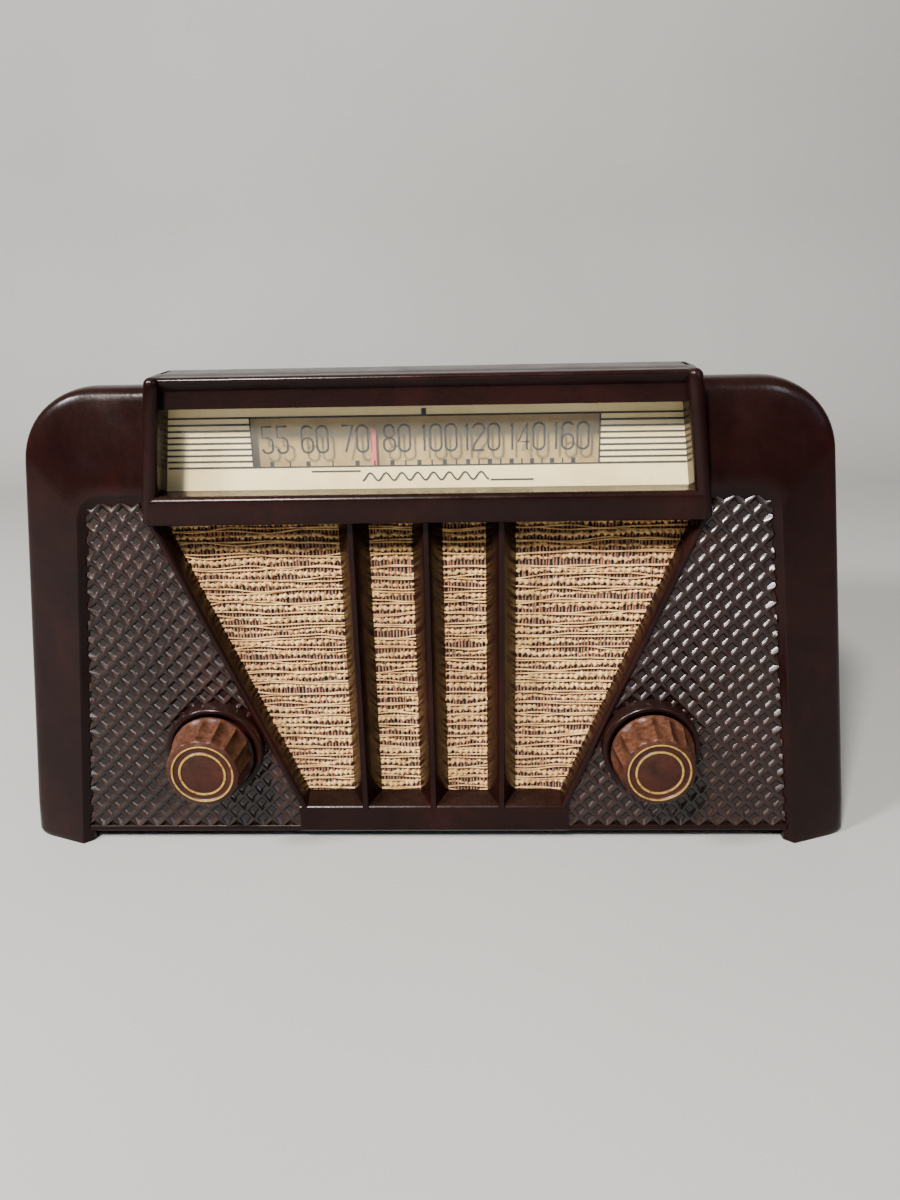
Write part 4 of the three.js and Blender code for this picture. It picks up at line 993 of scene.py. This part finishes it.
def warp(rng):
    """Upright threads, seen as short bars where the yarns sink."""
    piece = Piece("grille_warp_threads")
    x = -cloth_half(CLOTH_TOP) + 1
    while x < cloth_half(CLOTH_TOP) - 1:
        low = max(CLOTH_BOTTOM, GRILLE_BOTTOM + (abs(x) - 2.0 - GRILLE_HALF) / GRILLE_SPREAD)
        count = max(int((CLOTH_TOP - low) / 1.5), 3)
        sway = smooth_random(lambda: rng.uniform(-0.25, 0.25), count, 6)
        depth = smooth_random(lambda: rng.uniform(-0.25, 0.25), count, 2)
        thick = smooth_random(lambda: rng.uniform(0.2, 0.38), count, 3)
        centres = [(x + sway[i], WARP_Y + depth[i], lerp(low, CLOTH_TOP, i / (count - 1)))
                   for i in range(count)]
        piece.add(*tube(centres, thick, 5), LOOKS["warp"])
        x += rng.uniform(0.98, 1.22)
    return piece.build("radio", crease=180)


def grille_cloth():
    rng = random.Random(41)
    piece = Piece("grille_cloth_sheet")
    columns, levels = 90, 50
    rows = []
    for j in range(levels + 1):
        z = lerp(CLOTH_BOTTOM, CLOTH_TOP, j / levels)
        half = cloth_half(z)
        rows.append([(lerp(-half, half, i / columns), 9.14 + rng.uniform(-0.03, 0.03), z)
                     for i in range(columns + 1)])
    back = [[(x, 9.3, z) for x, _, z in row] for row in rows]
    verts, faces = skin(rows, around=False, ends=False)
    count = len(verts)
    verts_back, faces_back = skin(back, around=False, ends=False)
    faces += [tuple(count + i for i in reversed(face)) for face in faces_back]
    edge = list(range(columns + 1))
    edge += [(j + 1) * (columns + 1) + columns for j in range(levels)]
    edge += [levels * (columns + 1) + i for i in reversed(range(columns))]
    edge += [j * (columns + 1) for j in reversed(range(1, levels))]
    for a, b in zip(edge, edge[1:] + edge[:1]):
        faces.append((b, a, a + count, b + count))
    # the near-black sheet is painted shade, seen through the gaps between the yarns
    piece.add(verts + verts_back, faces, LOOKS["gap_shade"])
    sheet = piece.build("radio", crease=180)
    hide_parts("grille_cloth")
    yarns = weft(rng)
    threads = warp(rng)


# ---------- finishes of the CAD nodes that stay ----------
NODE_LOOKS = {
    "dial_glass": "glass", "dial_scale": "cream", "dial_backplate": "tan", "dial_pointer": "pointer",
    "pointer_rail": "steel", "idler_pulley_left": "brass", "idler_pulley_right": "brass",
    "dial_drum": "aluminium", "dial_cord": "thread", "dial_lamp": "bulb", "dial_lamp_holder": "steel",
    "grille_baffle": "board", "volume_shaft": "aluminium", "volume_control": "phenolic",
    "volume_control_nut": "brass", "tuning_shaft": "aluminium", "tuning_bush": "brass",
    "tuning_bush_nut": "brass", "tuning_capacitor_frame": "steel", "tuning_capacitor_rotor": "aluminium",
    "tuning_capacitor_stator": "aluminium", "speaker_frame": "steel", "speaker_magnet": "magnet",
    "speaker_cone": "paper", "chassis": "steel", "if_transformer_first": "aluminium",
    "if_transformer_second": "aluminium", "filter_capacitor": "card", "output_transformer_core": "magnet",
    "output_transformer_coil": "copper", "oscillator_coil": "card", "loop_antenna": "copper",
    "back_cover": "fibreboard", "cord_grommet": "rubber",
}


def finish_cad_nodes():
    endings = (("_tube", "bulb"), ("_socket", "phenolic"))
    for name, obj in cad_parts.items():
        look = NODE_LOOKS.get(name, "steel")
        for ending, other in endings:
            if name.endswith(ending):
                look = other
        for slot in obj.material_slots:
            slot.material = LOOKS[look]


# ---------- floor, light and camera ----------
def stage():
    mesh = bpy.data.meshes.new("floor")
    bm = bmesh.new()
    back, rise, bend = 0.75, 1.5, 0.25
    profile = [(-1.6, 0.0)]
    profile += [(back - bend + bend * math.sin(a), bend - bend * math.cos(a))
                for a in (math.radians(d) for d in range(0, 91, 6))]
    profile += [(back, rise)]
    rows = [[(x, y, z) for x in (-2.2, 2.2)] for y, z in profile]
    verts, faces = skin(rows, around=False, ends=False)
    made = [bm.verts.new(v) for v in verts]
    for face in faces:
        bm.faces.new([made[i] for i in face]).smooth = True
    bmesh.ops.recalc_face_normals(bm, faces=bm.faces)
    bm.to_mesh(mesh)
    bm.free()
    floor = bpy.data.objects.new("floor", mesh)
    bpy.context.scene.collection.objects.link(floor)
    look = Look("floor_paper", Roughness=0.8)
    look.colour(look.ramp(look.noise(3, detail=3), (0.3, rgb("#8b8a87")), (0.7, rgb("#93928f"))))
    mesh.materials.append(look.material)


def light(name, place, target, size, power, colour=(1, 1, 1)):
    data = bpy.data.lights.new(name, "AREA")
    data.shape = "DISK"
    data.size = size
    data.energy = power
    data.color = colour
    obj = bpy.data.objects.new(name, data)
    obj.location = place
    obj.rotation_euler = (Vector(target) - Vector(place)).to_track_quat("-Z", "Y").to_euler()
    bpy.context.scene.collection.objects.link(obj)


def lights():
    target = metres(0, 0, 80)
    azimuth, elevation, distance = math.radians(22), math.radians(43.5), 1.5
    key = target + distance * Vector((-math.sin(azimuth) * math.cos(elevation),
                                      -math.cos(azimuth) * math.cos(elevation), math.sin(elevation)))
    light("key", key, target, 0.2, 72, (1.0, 0.95, 0.88))
    light("window", target + 1.4 * Vector((-0.659, -0.446, 0.605)), target, 0.24, 36, (0.95, 0.97, 1.0))
    light("room", target + 1.5 * Vector((0.481, -0.683, 0.532)), target, 0.3, 4, (0.9, 0.95, 1.0))
    light("fill", (1.3, -0.9, 0.7), target, 0.7, 2.5, (0.5, 0.65, 1.0))
    light("top", (-0.1, 0.5, 1.5), target, 0.8, 3, (0.95, 0.97, 1.0))
    world = bpy.data.worlds.new("studio")
    bpy.context.scene.world = world
    world.use_nodes = True
    world.node_tree.nodes["Background"].inputs["Color"].default_value = (0.86, 0.9, 1.0, 1)
    world.node_tree.nodes["Background"].inputs["Strength"].default_value = 0.07


def camera():
    data = bpy.data.cameras.new("camera")
    data.sensor_fit = "VERTICAL"
    data.sensor_height = 36
    data.lens = 27.84
    data.clip_start = 0.01
    obj = bpy.data.objects.new("camera", data)
    bpy.context.scene.collection.objects.link(obj)
    pitch, yaw, roll = math.radians(-19.58), math.radians(2.02), math.radians(-1.21)
    turn = Matrix.Rotation(yaw, 3, "Z") @ Matrix.Rotation(math.pi / 2 + pitch, 3, "X")
    turn = turn @ Matrix.Rotation(roll, 3, "Z")
    obj.matrix_world = Matrix.Translation(metres(17.06, -280.6, 190.4)) @ turn.to_4x4()
    bpy.context.scene.camera = obj


camera()
lights()
stage()
finish_cad_nodes()
cabinet()
chips()
knob(-1, "volume_knob", "volume")
knob(1, "tuning_knob", "tuning")
dial_print()
grille_cloth()
